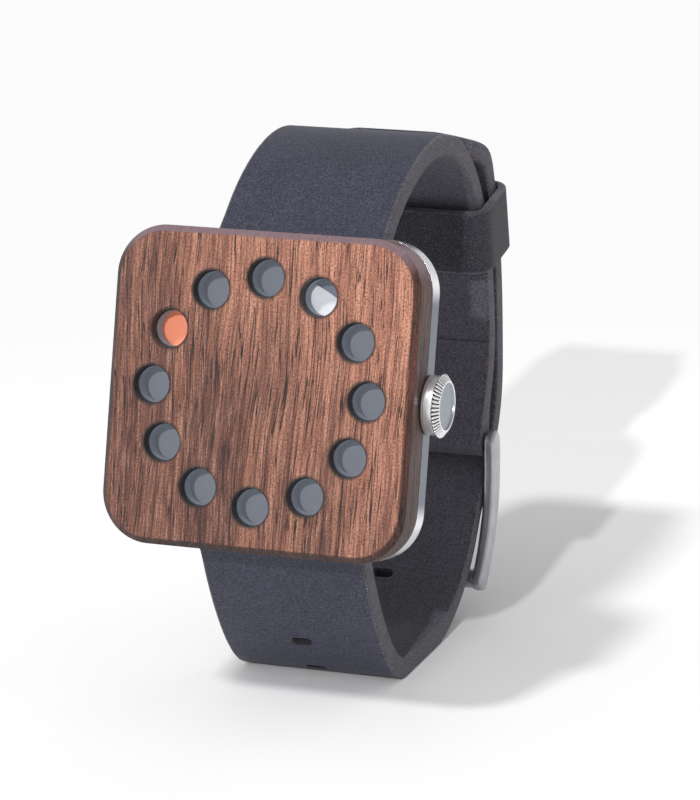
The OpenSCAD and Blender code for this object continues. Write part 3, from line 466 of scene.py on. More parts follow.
def leather(name, dark, light, rough, suede=False):
    """Smooth aniline leather with a fine grain and pores, or its fibrous back."""
    p = Paint(name)
    at = p.coords()
    grain = p.cells(at, 3.4, "SMOOTH_F1")
    fine = p.noise(at, 4.6, 4.0, 0.7)
    broad = p.noise(at, 0.12, 3.0, 0.55)
    mottle = p.noise(at, 2.4, 4.0, 0.7, 0.3)
    base = p.mix(p.step(mottle, 0.3, 0.72), rgb(dark), rgb(light))
    base = p.mix(p.step(broad, 0.35, 0.65, 0.0, 0.35), base, p.times(base, "d2cdd0"))
    base = p.mix(p.step(fine, 0.5, 0.66, 0.0, 0.6), base, p.mix(0.5, rgb(light), rgb("7d7c86")))
    base = p.mix(p.step(fine, 0.36, 0.5, 0.6, 0.0), base, p.mix(0.6, rgb(dark), rgb("0c0c10")))
    creases = p.noise(p.stretch(at, 0.25, 1.1, 1.1), 1.0, 4.0, 0.6, 0.8)
    shape = p.height(fine, 0.05 if suede else 0.02, p.height(grain, 0.02, p.height(creases, 0.06)))
    gloss, sheen = (0.2, 0.1) if suede else (0.3, 0.03)
    p.flat(Specular_IOR_Level=gloss, Sheen_Weight=sheen, Sheen_Roughness=0.4)
    return p.finish(base, p.step(fine, 0.3, 0.7, rough - 0.07, rough + 0.07), shape)


def raw_edge(name, low, high, fibre_light):
    """Cut edge of the strap: packed fibres running along it. fibre_light is how pale some of them are."""
    p = Paint(name)
    at = p.coords()
    layers = p.noise(p.stretch(at, 0.6, 1.4, 1.4), 1.0, 4.0, 0.7, 1.6)
    fibres = p.noise(p.stretch(at, 3.0, 4.5, 4.5), 1.0, 4.0, 0.7, 0.8)
    base = p.mix(p.step(layers, 0.3, 0.7), rgb(low), rgb(high))
    base = p.mix(p.step(fibres, 0.5, 0.7, 0.0, fibre_light), base, rgb("948e96"))
    base = p.mix(p.step(fibres, 0.34, 0.5, 0.65, 0.0), base, rgb("222026"))
    p.flat(Specular_IOR_Level=0.2, Sheen_Weight=0.2)
    shape = p.height(fibres, 0.12, p.height(layers, 0.08))
    return p.finish(base, p.step(fibres, 0.3, 0.7, 0.78, 0.92), shape)


def copper_wire():
    """Enamelled wire: the bands are the coil's turns, each lighter along its crest and darker where it
    meets the next: painted highlight and shade.
    """
    p = Paint("copper_wire")
    waves = p.node("TexWave", wave_type="BANDS", bands_direction="X")
    waves.inputs["Scale"].default_value = 3.2
    waves.inputs["Distortion"].default_value = 0.4
    p.link(p.coords(), waves.inputs["Vector"])
    turns = waves.outputs["Fac"]
    base = p.mix(turns, rgb("7a3d20"), rgb("c9773f"))
    p.flat(Metallic=0.8)
    return p.finish(base, p.step(turns, 0.0, 1.0, 0.45, 0.3), p.height(turns, 0.03))


def board_mask():
    """Green circuit board with paler tracks."""
    p = Paint("board_mask")
    at = p.coords(along_face=True)
    tracks = p.cells(at, 1.3, "DISTANCE_TO_EDGE")
    line = p.step(tracks, 0.03, 0.07, 1.0, 0.0)
    base = p.mix(line, rgb("14442a"), rgb("2a7046"))
    return p.finish(base, p.step(tracks, 0.0, 0.3, 0.3, 0.42), p.height(line, 0.02, p.soft_edges(0.04)))


# The case's dark grey sides and its light rounded corners are painted reflection.
case_metal = metal("case_metal", "656b77", 0.34, (1.2, 1.2, 14.0), 0.12, along_face=True, corners="eeeef0")
back_metal = metal("back_metal", "b9babf", 0.34, (14.0, 0.9, 4.0), 0.12, 0.08, along_face=True)
steel = metal("steel", "a9aaaf", 0.3, (2.0, 12.0, 12.0), 0.05)
movement_metal = metal("movement_metal", "9b9ca1", 0.32, (9.0, 1.5, 9.0), 0.03, along_face=True)
buckle_metal = metal("buckle_metal", "b4b3b9", 0.38, (12.0, 1.4, 1.4), 0.05, 0.06, wear=0.04)
brass = metal("brass", "b8923f", 0.3, (9.0, 9.0, 2.0), 0.02, along_face=True)
rubber = moulded("rubber", "0d0d0e", 0.7, 8.0)
movement_plastic = moulded("movement_plastic", "b9b9bb", 0.5, 6.0, "8a8a8c")
skin = leather("leather_skin", "292b39", "3d3e50", 0.55)
flesh = leather("leather_flesh", "46444c", "5e5b64", 0.75, suede=True)
edge = raw_edge("leather_edge", "35333a", "54505a", 0.6)
punched = raw_edge("leather_punched", "242228", "34313a", 0.06)
# The loop's leather is darker than the strap's and its edge has fewer pale fibres: painted shade.
shaded_loop_skin = leather("leather_loop", "212128", "2d2d36", 0.6)
shaded_loop_edge = raw_edge("leather_loop_edge", "35333a", "54505a", 0.33)
LEATHER = {"skin": skin, "flesh": flesh, "edge": edge, "slot": punched}
LOOP_LEATHER = {"skin": shaded_loop_skin, "flesh": flesh, "edge": shaded_loop_edge}
BUCKLE_STEEL = {"skin": buckle_metal, "flesh": buckle_metal, "edge": buckle_metal}

finishes = {
    "wood_cover": walnut(), "aperture_plate": hour_plate(), "dial_plate": dial_paint(),
    "minute_hand": lacquer("white_hand", "e9ebef", "c9ccd3"),
    # the orange hand has a painted glow
    "hour_hand": lacquer("orange_hand", "fa9470", "fbae92", 0.16),
    "cover_gasket": rubber, "case_frame": case_metal, "case_back": back_metal, "back_gasket": rubber,
    "back_screws": steel, "movement_ring": movement_plastic, "main_plate": movement_plastic,
    "train_bridge": movement_plastic, "bridge_screws": steel, "cannon_pinion": brass,
    "minute_wheel": brass, "hour_wheel": brass, "centre_wheel": brass, "intermediate_wheel": brass,
    "rotor": movement_metal, "stator": movement_metal, "coil": copper_wire(),
    "circuit_board": board_mask(), "quartz_can": movement_metal, "button_cell": movement_metal,
    "cell_clip": brass, "sliding_pinion": steel, "stem": steel, "crown": crown_metal(),
    "crown_gasket": rubber, "crown_tube": steel, "upper_spring_bar": steel,
    "lower_spring_bar": steel, "buckle_spring_bar": steel,
}
for name, material in finishes.items():
    nodes[name].data.materials.clear()
    nodes[name].data.materials.append(material)


# The strap's path, in Y and Z
def heading(degrees):
    """The direction at an angle from the first axis."""
    return Vector((math.cos(math.radians(degrees)), math.sin(math.radians(degrees))))


def bend(a, b, steps):
    """Points of the smooth curve from knot a to knot b. A knot is a point, a direction, and its handles
    as parts of the distance to the knot before and the knot after it."""
    span = (Vector(b[0]) - Vector(a[0])).length
    p0, p3 = Vector(a[0]), Vector(b[0])
    p1, p2 = p0 + a[3] * span * heading(a[1]), p3 - b[2] * span * heading(b[1])
    for i in range(steps):
        u = i / steps
        v = 1 - u
        yield v ** 3 * p0 + 3 * v * v * u * p1 + 3 * v * u * u * p2 + u ** 3 * p3


def curve(knots, steps):
    """The path through all knots, with a number of steps between each two."""
    points = [p for a, b in zip(knots, knots[1:]) for p in bend(a, b, steps)]
    return points + [Vector(knots[-1][0])]


def flat_point(y, z):
    """A point up and out of the dial's face, in Y and Z."""
    p = face_point(0, y, z)
    return Vector((p.y, p.z))


UPPER_BAR = flat_point(17.2, -12)
LOWER_BAR = flat_point(-17.2, -12)
BUCKLE_BAR = Vector((26.9, 24.4))
END_BAR = Vector((21.0, 5.4))
TIP, TIP_ANGLE = (22.4, 69.1), 148
UPPER_KNOTS = [
    (UPPER_BAR, 52, 0, 0.422), ((7.2, 70 + MID), 0, 0.25, 0.372),
    ((32.35 - MID, 38.8), -90, 0.434, 0.335), (BUCKLE_BAR, -101, 0.335, 0)]
LOWER_KNOTS = [
    (LOWER_BAR, -80, 0, 0.265), ((-7.5, MID), 0, 0.232, 0.288), ((5.5, MID), 0, 0.212, 0.177),
    ((22.4, 11.8), 57, 0.454, 0.428), ((36.05 - MID, 34.4), 90, 0.409, 0.362),
    ((30.5, 63.1), 109, 0.414, 0.427), (TIP, TIP_ANGLE, 0.476, 0)]


def tangents(points):
    last = len(points) - 1
    return [(points[min(i + 1, last)] - points[max(i - 1, 0)]).normalized() for i in range(last + 1)]


def left(v):
    """The direction a quarter turn to the left."""
    return Vector((-v.y, v.x))


def distances(points):
    """How far along the path each of its points lies."""
    total = [0.0]
    for a, b in zip(points, points[1:]):
        total.append(total[-1] + (b - a).length)
    return total


def even(points, gap):
    """The same path with its points about gap apart."""
    along = distances(points)
    count = max(2, round(along[-1] / gap))
    made, i = [], 0
    for k in range(count + 1):
        s = along[-1] * k / count
        while i < len(points) - 2 and along[i + 1] < s:
            i += 1
        u = (s - along[i]) / (along[i + 1] - along[i])
        made.append(points[i].lerp(points[i + 1], u))
    return made


def nearest(points, q):
    """The path's nearest point to q: its distance along the path, and the point."""
    along = distances(points)
    best = None
    for i, (a, b) in enumerate(zip(points, points[1:])):
        e = b - a
        u = min(1, max(0, (q - a).dot(e) / e.length_squared))
        gap = (a + u * e - q).length
        if best is None or gap < best[0]:
            best = (gap, along[i] + u * e.length, a + u * e)
    return best[1:]


def place_at(points, s):
    """The point and the direction at a distance along the path."""
    along = distances(points)
    for i, (a, b) in enumerate(zip(points, points[1:])):
        if along[i + 1] >= s:
            return a.lerp(b, (s - along[i]) / (along[i + 1] - along[i])), (b - a).normalized()
    return points[-1], (points[-1] - points[-2]).normalized()


# Mesh helpers
def palette(surfaces):
    """The materials of a piece, and the number of the material of each of its surfaces."""
    materials = list(dict.fromkeys(surfaces.values()))
    return materials, {key: materials.index(material) for key, material in surfaces.items()}


def new_object(name, bm, materials):
    bmesh.ops.recalc_face_normals(bm, faces=bm.faces)
    mesh = bpy.data.meshes.new(name)
    bm.to_mesh(mesh)
    bm.free()
    for material in materials:
        mesh.materials.append(material)
    made = bpy.data.objects.new(name, mesh)
    bpy.context.scene.collection.objects.link(made)
    return made


def smooth(obj, angle=35):
    """Smooth shading, with the edges left sharp that turn by more than the angle."""
    for polygon in obj.data.polygons:
        polygon.use_smooth = True
    sharp = math.cos(math.radians(angle))
    bm = bmesh.new()
    bm.from_mesh(obj.data)
    for e in bm.edges:
        if len(e.link_faces) == 2 and e.link_faces[0].normal.dot(e.link_faces[1].normal) < sharp:
            e.smooth = False
    bm.to_mesh(obj.data)
    bm.free()
    return obj


def apply_modifiers(obj):
    """Leaves the object with the mesh that its modifiers give."""
    depsgraph = bpy.context.evaluated_depsgraph_get()
    mesh = bpy.data.meshes.new_from_object(obj.evaluated_get(depsgraph))
    obj.modifiers.clear()
    old = obj.data
    obj.data = mesh
    bpy.data.meshes.remove(old)
    return obj


def cut(obj, cutters):
    """Takes the cutters out of the object, and removes them."""
    for cutter in cutters:
        modifier = obj.modifiers.new("cut", "BOOLEAN")
        modifier.operation = "DIFFERENCE"
        modifier.solver = "EXACT"
        modifier.object = cutter
    apply_modifiers(obj)
    for cutter in cutters:
        bpy.data.objects.remove(cutter)
    return obj


def rotated(v, a):
    c, s = math.cos(a), math.sin(a)
    return Vector((v.x * c - v.y * s, v.x * s + v.y * c))


def prism(bm, ends, material_index):
    """Adds a closed prism between two ends, which are lists of points in millimetres."""
    a, b = ([bm.verts.new(Vector(p) * MM) for p in end] for end in ends)
    sides = [(a[k - 1], a[k], b[k], b[k - 1]) for k in range(len(a))]
    for corners in sides + [a, b]:
        bm.faces.new(corners).material_index = material_index


def rod(centre, half_length, r, surfaces, segments=48):
    """A closed cylinder along X: a cutter, or the core of a bar."""
    materials, number = palette(surfaces)
    bm = bmesh.new()
    circle = [centre + r * heading(360 * k / segments) for k in range(segments)]
    prism(bm, [[(x, q.x, q.y) for q in circle] for x in (-half_length, half_length)], number["edge"])
    return new_object("rod", bm, materials)


# Slabs: a side profile in Y and Z carried across X, with rounded edges
CAP_STEPS = 12


def slab_loop(ribs, round_end, turn):
    """The closed side profile: centre, direction, half thickness, half width and surface at each point."""
    first, last = ribs[0], ribs[-1]
    angles = [turn * math.pi * i / CAP_STEPS for i in range(1, CAP_STEPS)]
    loop = [(c, n, h, w, "skin") for c, n, h, w in ribs[:-1]]
    loop.append(last + ("skin" if round_end else "edge",))
    if round_end:
        c, n, h, w = last
        loop += [(c, rotated(n, a), h, w, "flesh") for a in angles]
    loop += [(c, -n, h, w, "flesh") for c, n, h, w in reversed(ribs[1:])]
    c, n, h, w = first
    loop.append((c, -n, h, w, "skin"))
    return loop + [(c, rotated(-n, a), h, w, "skin") for a in angles]


def slab_columns(spans, corner):
    """Places across the slab: the side, and how far each is out and in along the edge's rounding."""
    quarter = [math.pi / 2 * k / corner for k in range(corner, -1, -1)]
    columns = [(-1, math.sin(a), 1 - math.cos(a)) for a in quarter]
    columns += [(2 * k / spans - 1, 0, 0) for k in range(1, spans)]
    return columns + [(1, math.sin(a), 1 - math.cos(a)) for a in reversed(quarter)]


def slab(name, ribs, surfaces, radius, x_mid=0.0, spans=6, corner=4, round_end=True, turn=-1):
    """A slab through ribs of (centre, outward, half thickness, half width), with rounded edges.
    turn is -1 where outward lies to the left of the way along the ribs, and 1 where it lies right."""
    loop = slab_loop(ribs, round_end, turn)
    columns = slab_columns(spans, corner)
    materials, number = palette(surfaces)
    bm = bmesh.new()
    grid = []
    for side, out, inset in columns:
        row = []
        for c, n, h, w, _ in loop:
            p = c + n * (h - radius * inset)
            x = side * (w - radius) + math.copysign(radius * out, side)
            row.append(bm.verts.new(((x_mid + x) * MM, p.x * MM, p.y * MM)))
        grid.append(row)
    count = len(loop)
    for k in range(len(columns) - 1):
        on_edge = columns[k][2] + columns[k + 1][2] > 0
        for j in range(count):
            i = (j + 1) % count
            face = bm.faces.new((grid[k][j], grid[k][i], grid[k + 1][i], grid[k + 1][j]))
            face.material_index = number["edge" if on_edge else loop[j][4]]
    last = len(ribs) - 1
    first_inner = count - last - CAP_STEPS
    for row in (grid[0], grid[-1]):
        flat_ends = []
        for i in range(last):
            inner = first_inner + last - i
            flat_ends.append((row[i], row[i + 1], row[inner - 1], row[inner]))
        if round_end:
            flat_ends.append(row[last:last + CAP_STEPS + 1])
        flat_ends.append([row[0]] + row[count - CAP_STEPS:])
        for corners in flat_ends:
            bm.faces.new(corners).material_index = number["edge"]
    return new_object(name, bm, materials)


def ease(u):
    """Rises softly from 0 to 1 while u goes from 0 to 1."""
    u = min(1, max(0, u))
    return u * u * (3 - 2 * u)


# Leather
CURVE_STEPS, RIB_GAP, PATH_GAP = 40, 0.6, 0.3


def rounding(r, gap):
    """How much an end rounded to r falls short of its full size at a gap from the end."""
    return math.sqrt(r ** 2 - (r - gap) ** 2) - r if gap < r else 0.0


def strap_ribs(knots, outward, buckled):
    """Ribs of a strap half. Where the leather folds round a bar it is as thick as the eye. The buckled half
    folds at both ends, and the flap folded back from the buckle ends in a low step on the inner side. The
    other half ends in the rounded tip."""
    points = even(curve(knots, CURVE_STEPS), RIB_GAP)
    along = distances(points)
    length = along[-1]
    if buckled:
        along = sorted(along + [length - FLAP_L - 0.04, length - FLAP_L + 0.04])
    ribs = []
    for s in along:
        p, t = place_at(points, s)
        from_end = length - s
        n = outward * left(t)
        h = MID + (EYE_R - MID) * (1 - ease(s / FOLD_L))
        w = STRAP_W / 2
        if buckled:
            h = max(h, MID + (EYE_R - MID) * (1 - ease(from_end / FOLD_L)))
            if from_end < FLAP_L:
                flap = FLAP_T * ease((from_end - 2) / 4)
                p = p - n * flap / 2
                h += flap / 2
        else:
            w += rounding(TIP_R, from_end)
            h += rounding(EDGE_R, from_end)
        ribs.append((p, n, h, w))
    return ribs


def fine_tip(ribs):
    """Adds ribs where the tip's outline turns fast."""
    made = ribs[:-1]
    a, b = ribs[-2], ribs[-1]
    for u in (0.35, 0.6, 0.8, 0.92, 0.98, 1.0):
        p = a[0].lerp(b[0], u)
        gap = (b[0] - p).length
        w = STRAP_W / 2 + rounding(TIP_R, gap)
        made.append((p, a[1].lerp(b[1], u).normalized(), MID + rounding(EDGE_R, gap), w))
    return made


def slot_cutter(places):
    """One cutter object with a round-ended slot at each place, a point and a direction."""
    materials, number = palette(LEATHER)
    bm = bmesh.new()
    r = SLOT_L / 2
    outline = []
    for side, first in ((1, -90), (-1, 90)):
        middle = Vector((side * (SLOT_W / 2 - r), 0))
        outline += [middle + r * heading(first + 18 * k) for k in range(11)]
    for p, t in places:
        ends = []
        for depth in (-STRAP_T, STRAP_T):
            middle = p + depth * left(t)
            ends.append([(x, middle.x + y * t.x, middle.y + y * t.y) for x, y in outline])
        prism(bm, ends, number["slot"])
    return new_object("slots", bm, materials)


def make_upper_strap():
    """The short half, with an eye round each bar and a gap for the tongue."""
    made = slab("upper_strap_leather", strap_ribs(UPPER_KNOTS, 1, True), LEATHER, EDGE_R)
    cut(made, [
        rod(UPPER_BAR, STRAP_W, EYE_HOLE_R, LEATHER), rod(BUCKLE_BAR, STRAP_W, EYE_HOLE_R, LEATHER),
        rod(BUCKLE_BAR, TONGUE_W / 2 + TONGUE_GAP, TONGUE_CUT_R, LEATHER)])
    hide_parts("upper_strap")
    return smooth(made)


def make_lower_strap():
    """The long half, with its slots. One of them lies on the tongue."""
    ribs = fine_tip(strap_ribs(LOWER_KNOTS, -1, False))
    made = slab("lower_strap_leather", ribs, LEATHER, EDGE_R, round_end=False, turn=1)
    path = even(curve(LOWER_KNOTS, CURVE_STEPS), PATH_GAP)
    tongue_s, _ = nearest(path, BUCKLE_BAR)
    places = [place_at(path, tongue_s + k * SLOT_PITCH) for k in range(-SLOTS_DOWN, SLOTS_UP + 1)]
    cut(made, [rod(LOWER_BAR, STRAP_W, EYE_HOLE_R, LEATHER), slot_cutter(places)])
    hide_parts("lower_strap")
    return smooth(made)


def rounded_outline(half_x, half_y, r, corner=12):
    """Points of a rounded rectangle, the same number whatever its size."""
    points = []
    for (sx, sy), first in (((1, 1), 0), ((-1, 1), 90), ((-1, -1), 180), ((1, -1), 270)):
        middle = Vector((sx * (half_x - r), sy * (half_y - r)))
        points += [middle + r * heading(first + 90 * k / corner) for k in range(corner + 1)]
        along_x = first in (0, 180)
        steps = 16 if along_x else 6
        end = Vector((-middle.x, middle.y)) if along_x else Vector((middle.x, -middle.y))
        end += r * heading(first + 90)
        points += [points[-1].lerp(end, k / steps) for k in range(1, steps)]
    return points


def keeper_section():
    """Round the loop's section: where between inner and outer side, how high, and the surface there."""
    section = []
    for s, h, first in ((1, 1, 90), (1, -1, 0), (-1, -1, -90), (-1, 1, 180)):
        for k in range(5):
            corner = KEEPER_RIM * heading(first - 22.5 * k)
            thick = s * (KEEPER_T / 2 - KEEPER_RIM) + corner.x
            section.append((thick / KEEPER_T + 0.5, h * (KEEPER_W / 2 - KEEPER_RIM) + corner.y, "edge"))
        if h == s:
            surface = "skin" if s == 1 else "flesh"
            section[-1] = section[-1][:2] + (surface,)
            flat = s * (KEEPER_W / 2 - KEEPER_RIM)
            section += [(0.5 + s / 2, flat * (1 - k / 4), surface) for k in range(1, 8)]
    return section


def make_keeper():
    """A leather loop round both layers, with softly rounded corners and raw upper and lower edges."""
    low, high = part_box("keeper")
    centre = (Vector(low) + Vector(high)) / 2 / MM
    size = (Vector(high) - Vector(low)) / MM
    depth = (size.y - KEEPER_W * math.sin(KEEPER_TILT)) / math.cos(KEEPER_TILT)
    outer = rounded_outline(size.x / 2, depth / 2, KEEPER_OUTER_R)
    inner = rounded_outline(size.x / 2 - KEEPER_T, depth / 2 - KEEPER_T, KEEPER_INNER_R)
    across = Vector((math.cos(KEEPER_TILT), math.sin(KEEPER_TILT)))
    section = keeper_section()
    materials, number = palette(LOOP_LEATHER)
    bm = bmesh.new()
    grid = []
    for a, b in zip(inner, outer):
        row = []
        for u, v, _ in section:
            q = a.lerp(b, u)
            yz = Vector((centre.y, centre.z)) + q.y * across + v * left(across)
            row.append(bm.verts.new((q.x * MM, yz.x * MM, yz.y * MM)))
        grid.append(row)
    for j, a in enumerate(grid):
        b = grid[(j + 1) % len(grid)]
        for k in range(len(section)):
            i = (k + 1) % len(section)
            bm.faces.new((a[k], b[k], b[i], a[i])).material_index = number[section[k][2]]
    made = new_object("keeper_leather", bm, materials)
    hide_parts("keeper")
    return smooth(made)


# Crown
def crown_stations():
    """The crown's outline from its bore to its disc: (along X, radius, depth of the grooves)."""
    disc_x = CROWN_L - CROWN_DISH
    neck, face = CROWN_NECK_R, CROWN_FACE_R
    bore = [
        (STEM_BORE_L, STEM_R, 0), (TUBE_BORE_L, STEM_R, 0),
        (TUBE_BORE_L, TUBE_BORE_R, 0), (0, TUBE_BORE_R, 0)]
    smooth_neck = [
        (0, neck - 0.12, 0), (0.04, neck - 0.03, 0), (0.14, neck, 0),
        (CROWN_NECK_L - 0.12, neck, 0), (CROWN_NECK_L - 0.03, neck - 0.08, 0)]
    knurled_rim = [
        (CROWN_NECK_L, CROWN_R - 0.07, RIDGE_DEPTH - 0.05), (CROWN_NECK_L + 0.08, CROWN_R, RIDGE_DEPTH),
        (CROWN_L - CROWN_BEVEL, CROWN_R, RIDGE_DEPTH), (CROWN_L - 0.06, face + 0.08, RIDGE_DEPTH * 0.8)]
    lip = [
        (CROWN_L - 0.015, face + 0.01, 0), (CROWN_L, face - 0.05, 0),
        (CROWN_L, face - 0.2, 0), (CROWN_L - 0.03, face - 0.25, 0)]
    disc = [(disc_x, face - 0.27, 0), (disc_x - 0.005, CROWN_DISC_R, 0), (disc_x - 0.005, 1.5, 0)]
    return bore + smooth_neck + knurled_rim + lip + disc


def make_crown():
    """A smooth neck, a knurled rim that runs out over a bevel, and a disc sunk in the end."""
    heights = (1, 1, 1, 0.3, 0, 0.3)
    in_groove = (3, 4)
    count = CROWN_RIDGES * len(heights)
    stations = crown_stations()
    bm = bmesh.new()
    rings = []
    for x, r, depth in stations:
        ring = []
        for k in range(count):
            radius = r - depth * (1 - heights[k % len(heights)])
            turn = 2 * math.pi * k / count
            place = face_point(CROWN_X + x, radius * math.sin(turn), radius * math.cos(turn) - CROWN_DEPTH)
            ring.append(bm.verts.new(place * MM))
        rings.append(ring)
    for i, (a, b) in enumerate(zip(rings, rings[1:])):
        knurled = stations[i][2] > 0 and stations[i + 1][2] > 0
        for k in range(count):
            j = (k + 1) % count
            face = bm.faces.new((a[k], a[j], b[j], b[k]))
            # the grooves' faces get the second material, painted shade
            face.material_index = 1 if knurled and k % len(heights) in in_groove else 0
    for ring, x in ((rings[0], stations[0][0]), (rings[-1], stations[-1][0])):
        middle = bm.verts.new(face_point(CROWN_X + x, 0, -CROWN_DEPTH) * MM)
        for k in range(count):
            bm.faces.new((ring[k], ring[(k + 1) % count], middle))
    made = new_object("crown_knurled", bm, [finishes["crown"], painted_knurl_shade()])
    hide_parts("crown")
    return smooth(made, 30)


# Buckle
def turn_of(ribs):
    """The way an end cap turns so that it goes round beyond the last rib."""
    along = ribs[-1][0] - ribs[-2][0]
    return -1 if left(along).dot(ribs[-1][1]) > 0 else 1


def joined(name, parts):
    """One object with the meshes of all parts."""
    bm = bmesh.new()
    for part in parts:
        bm.from_mesh(part.data)
    made = new_object(name, bm, list(parts[0].data.materials))
    for part in parts:
        bpy.data.objects.remove(part)
    return made


def side_bar_ribs():
    """Ribs along the arc of a side bar, from the spring bar to the end bar."""
    chord = END_BAR - BUCKLE_BAR
    radius = ((chord.length / 2) ** 2 + BOW ** 2) / (2 * BOW)
    centre = (END_BAR + BUCKLE_BAR) / 2 + (BOW - radius) * left(chord.normalized())
    first, last = (math.atan2(p.y - centre.y, p.x - centre.x) for p in (BUCKLE_BAR, END_BAR))
    steps = 48
    ribs = []
    for i in range(steps + 1):
        n = rotated(Vector((1, 0)), first + (last - first) * i / steps)
        ribs.append((centre + radius * n, n, SIDE_T / 2, SIDE_W / 2))
    return ribs


def make_buckle_frame():
    """Two bowed side bars with sockets for the spring bar, and a round end bar between them."""
    ribs = side_bar_ribs()
    turn = turn_of(ribs)
    inside = STRAP_W / 2 + SIDE_GAP
    parts = []
    for side in (1, -1):
        x_mid = side * (inside + SIDE_W / 2)
        bar = slab("bar", ribs, BUCKLE_STEEL, SIDE_ROUND, x_mid, spans=2, corner=5, turn=turn)
        parts.append(cut(bar, [rod(BUCKLE_BAR, inside + SOCKET_L, SOCKET_R, BUCKLE_STEEL)]))
    parts.append(rod(END_BAR, inside + END_BAR_SINK, END_BAR_R, BUCKLE_STEEL, segments=96))
    made = joined("buckle_steel_frame", parts)
    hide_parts("buckle_frame")
    return smooth(made, 40)


def tongue_path(out, reach):
    """From the spring bar out through the slot, round a bend, and down onto the end bar."""
    knee = BUCKLE_BAR + (reach + MID + 1) * out
    rest = END_BAR + (END_BAR_R + TONGUE_T / 2 + 0.03) * Vector((0.93, -0.37)).normalized()
    along = (rest - knee).normalized()
    tip = rest + TONGUE_TIP_L * along
    a, b = knee - TONGUE_BEND_R * out, knee + TONGUE_BEND_R * along
    points = [BUCKLE_BAR + out * k / 2 for k in range(6)]
    points += [a * (1 - u) ** 2 + knee * 2 * u * (1 - u) + b * u * u for u in (k / 8 for k in range(9))]
    points += [b.lerp(tip, k / 20) for k in range(1, 21)]
    side = 1 if left(along).dot(knee - END_BAR) > 0 else -1
    return points, side


def make_tongue():
    """A flat tongue, narrower towards its tip, on a ring round the spring bar."""
    path = even(curve(LOWER_KNOTS, CURVE_STEPS), PATH_GAP)
    _, cross = nearest(path, BUCKLE_BAR)
    out = (cross - BUCKLE_BAR).normalized()
    points, side = tongue_path(out, (cross - BUCKLE_BAR).length)
    total = distances(points)
    ribs = []
    for p, t, s in zip(points, tangents(points), total):
        w = TONGUE_W / 2 - 0.25 * ease((s - total[-1] + 6) / 6)
        ribs.append((p, side * left(t), TONGUE_T / 2, w))
    ring_ribs = [(BUCKLE_BAR + d * out, left(out), TONGUE_RING, TONGUE_W / 2) for d in (-0.005, 0.005)]
    parts = [slab("part", r, BUCKLE_STEEL, 0.2, spans=3, turn=turn_of(r)) for r in (ribs, ring_ribs)]
    for part in parts:
        cut(part, [rod(BUCKLE_BAR, TONGUE_W, EYE_HOLE_R, BUCKLE_STEEL)])
    made = joined("buckle_steel_tongue", parts)
    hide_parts("buckle_tongue")
    return smooth(made, 40)


for make, body, slot in (
    (make_upper_strap, "case", "leather"), (make_lower_strap, "case", "leather"),
    (make_keeper, "keeper_loop", "leather"), (make_crown, "crown_and_stem", "case_metal"),
    (make_buckle_frame, "buckle", "buckle_steel"), (make_tongue, "tongue", "buckle_steel"),
):
    piece = make()
    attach(piece, body)


# Ground, light and camera
# the ground in metres, the lens in the photograph's pixels, the sensor and the camera in millimetres
GROUND_HALF, GROUND_DROP = 4.0, 0.00002
LENS_PX, IMAGE_H_PX, SENSOR = 3840, 800, 36.0
CAMERA_PLACE = (177.754, 18.993, 467.029)
CAMERA_RIGHT, CAMERA_UP = (0.93968, 0.07026, -0.33476), (-0.07898, 0.99680, -0.01249)
CAMERA_BACK = (0.33281, 0.03817, 0.94222)


def ground_paint():
    """A pale sheet, a little darker far away: its lighter colour near the watch is painted light that evens
    out the shade around it.
    """
    p = Paint("ground")
    at = p.coords()
    fine = p.noise(at, 0.02, 3.0, 0.5)
    base = p.mix(p.step(fine, 0.3, 0.7), rgb("fafafa"), rgb("fcfcfc"))
    away = p.vector_math("LENGTH", at, out=1)
    # painted light: lighter near the watch, darker far away
    base = p.mix(p.step(away, 60.0, 220.0), base, rgb("f2f2f2"))
    p.flat(Specular_IOR_Level=0.0)
    return p.finish(base, 0.9)


def make_ground():
    """The sheet lies a hair below the foot."""
    bm = bmesh.new()
    corners = ((-1, -1), (1, -1), (1, 1), (-1, 1))
    bm.faces.new([bm.verts.new((x * GROUND_HALF, y * GROUND_HALF, -GROUND_DROP)) for x, y in corners])
    made = new_object("ground", bm, [ground_paint()])


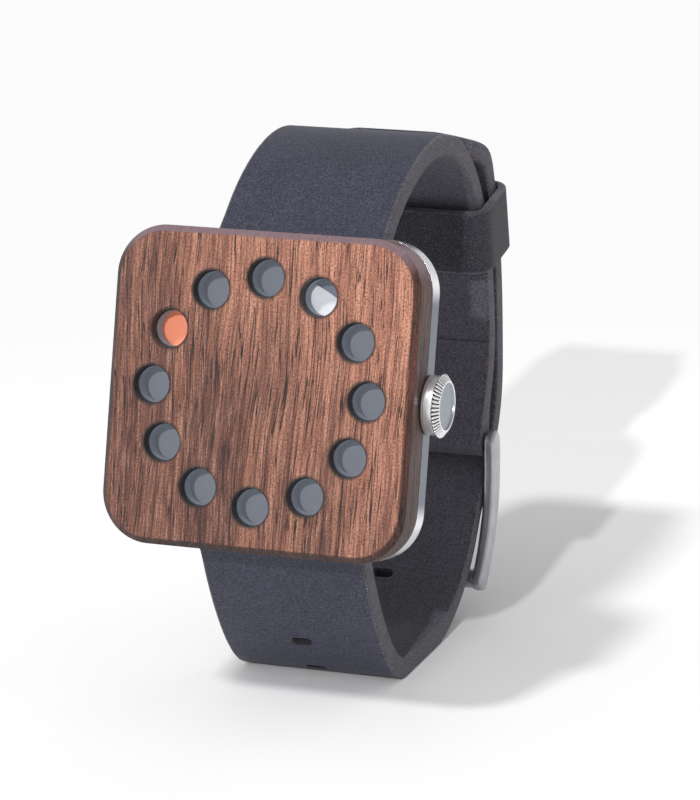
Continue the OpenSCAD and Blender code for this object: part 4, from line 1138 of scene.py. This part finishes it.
def make_world():
    """A pale studio, a little brighter around than above. Past the ground the camera sees near-white."""
    world = bpy.data.worlds.new("studio")
    bpy.context.scene.world = world
    world.use_nodes = True
    world_nodes, links = world.node_tree.nodes, world.node_tree.links
    world_nodes.clear()
    out, mix, path, sky, white, place, split, ramp = (world_nodes.new("ShaderNode" + kind) for kind in (
        "OutputWorld", "MixShader", "LightPath", "Background", "Background",
        "TexCoord", "SeparateXYZ", "ValToRGB"))
    sky.inputs["Strength"].default_value = 1.23
    white.inputs["Color"].default_value = rgb("f9f9f9")
    white.inputs["Strength"].default_value = 1.0
    around, above = ramp.color_ramp.elements
    around.position, around.color = 0.0, rgb("c6c6c8")
    above.position, above.color = 0.75, rgb("b0b0b0")
    for source, target in (
        (place.outputs["Generated"], split.inputs[0]), (split.outputs["Z"], ramp.inputs["Fac"]),
        (ramp.outputs["Color"], sky.inputs["Color"]), (path.outputs["Is Camera Ray"], mix.inputs[0]),
        (sky.outputs[0], mix.inputs[1]), (white.outputs[0], mix.inputs[2]),
        (mix.outputs[0], out.inputs[0]),
    ):
        links.new(source, target)


def make_light(name, azimuth, elevation, strength, disc):
    """A far lamp, like a sun with a disc of some degrees: a wider disc gives softer shadows.
    Azimuth 0 shines from the front, along +Y, and 90 from the right."""
    data = bpy.data.lights.new(name, "SUN")
    data.energy = strength
    data.angle = math.radians(disc)
    made = bpy.data.objects.new(name, data)
    a, e = math.radians(azimuth), math.radians(elevation)
    towards = Vector((math.sin(a) * math.cos(e), -math.cos(a) * math.cos(e), math.sin(e)))
    made.rotation_euler = towards.to_track_quat("Z", "Y").to_euler()
    bpy.context.scene.collection.objects.link(made)


def make_camera():
    """The photograph's camera, solved from the middles of the twelve hour holes. Its place and its
    directions are given across, up and out of the dial."""
    data = bpy.data.cameras.new("photo_camera")
    data.sensor_width = SENSOR
    data.lens = LENS_PX / IMAGE_H_PX * SENSOR
    data.clip_start = 0.05
    made = bpy.data.objects.new("photo_camera", data)
    turn = Matrix([face_direction(*axis) for axis in (CAMERA_RIGHT, CAMERA_UP, CAMERA_BACK)]).transposed()
    made.matrix_world = Matrix.Translation(face_point(*CAMERA_PLACE) * MM) @ turn.to_4x4()
    bpy.context.scene.collection.objects.link(made)
    bpy.context.scene.camera = made


make_ground()
make_world()
make_light("low_key", 3.8, 25, 1.42, 1.3)
make_light("high_key", -19, 52, 1.34, 6)
make_camera()
bpy.context.scene.view_settings.view_transform = "Standard"
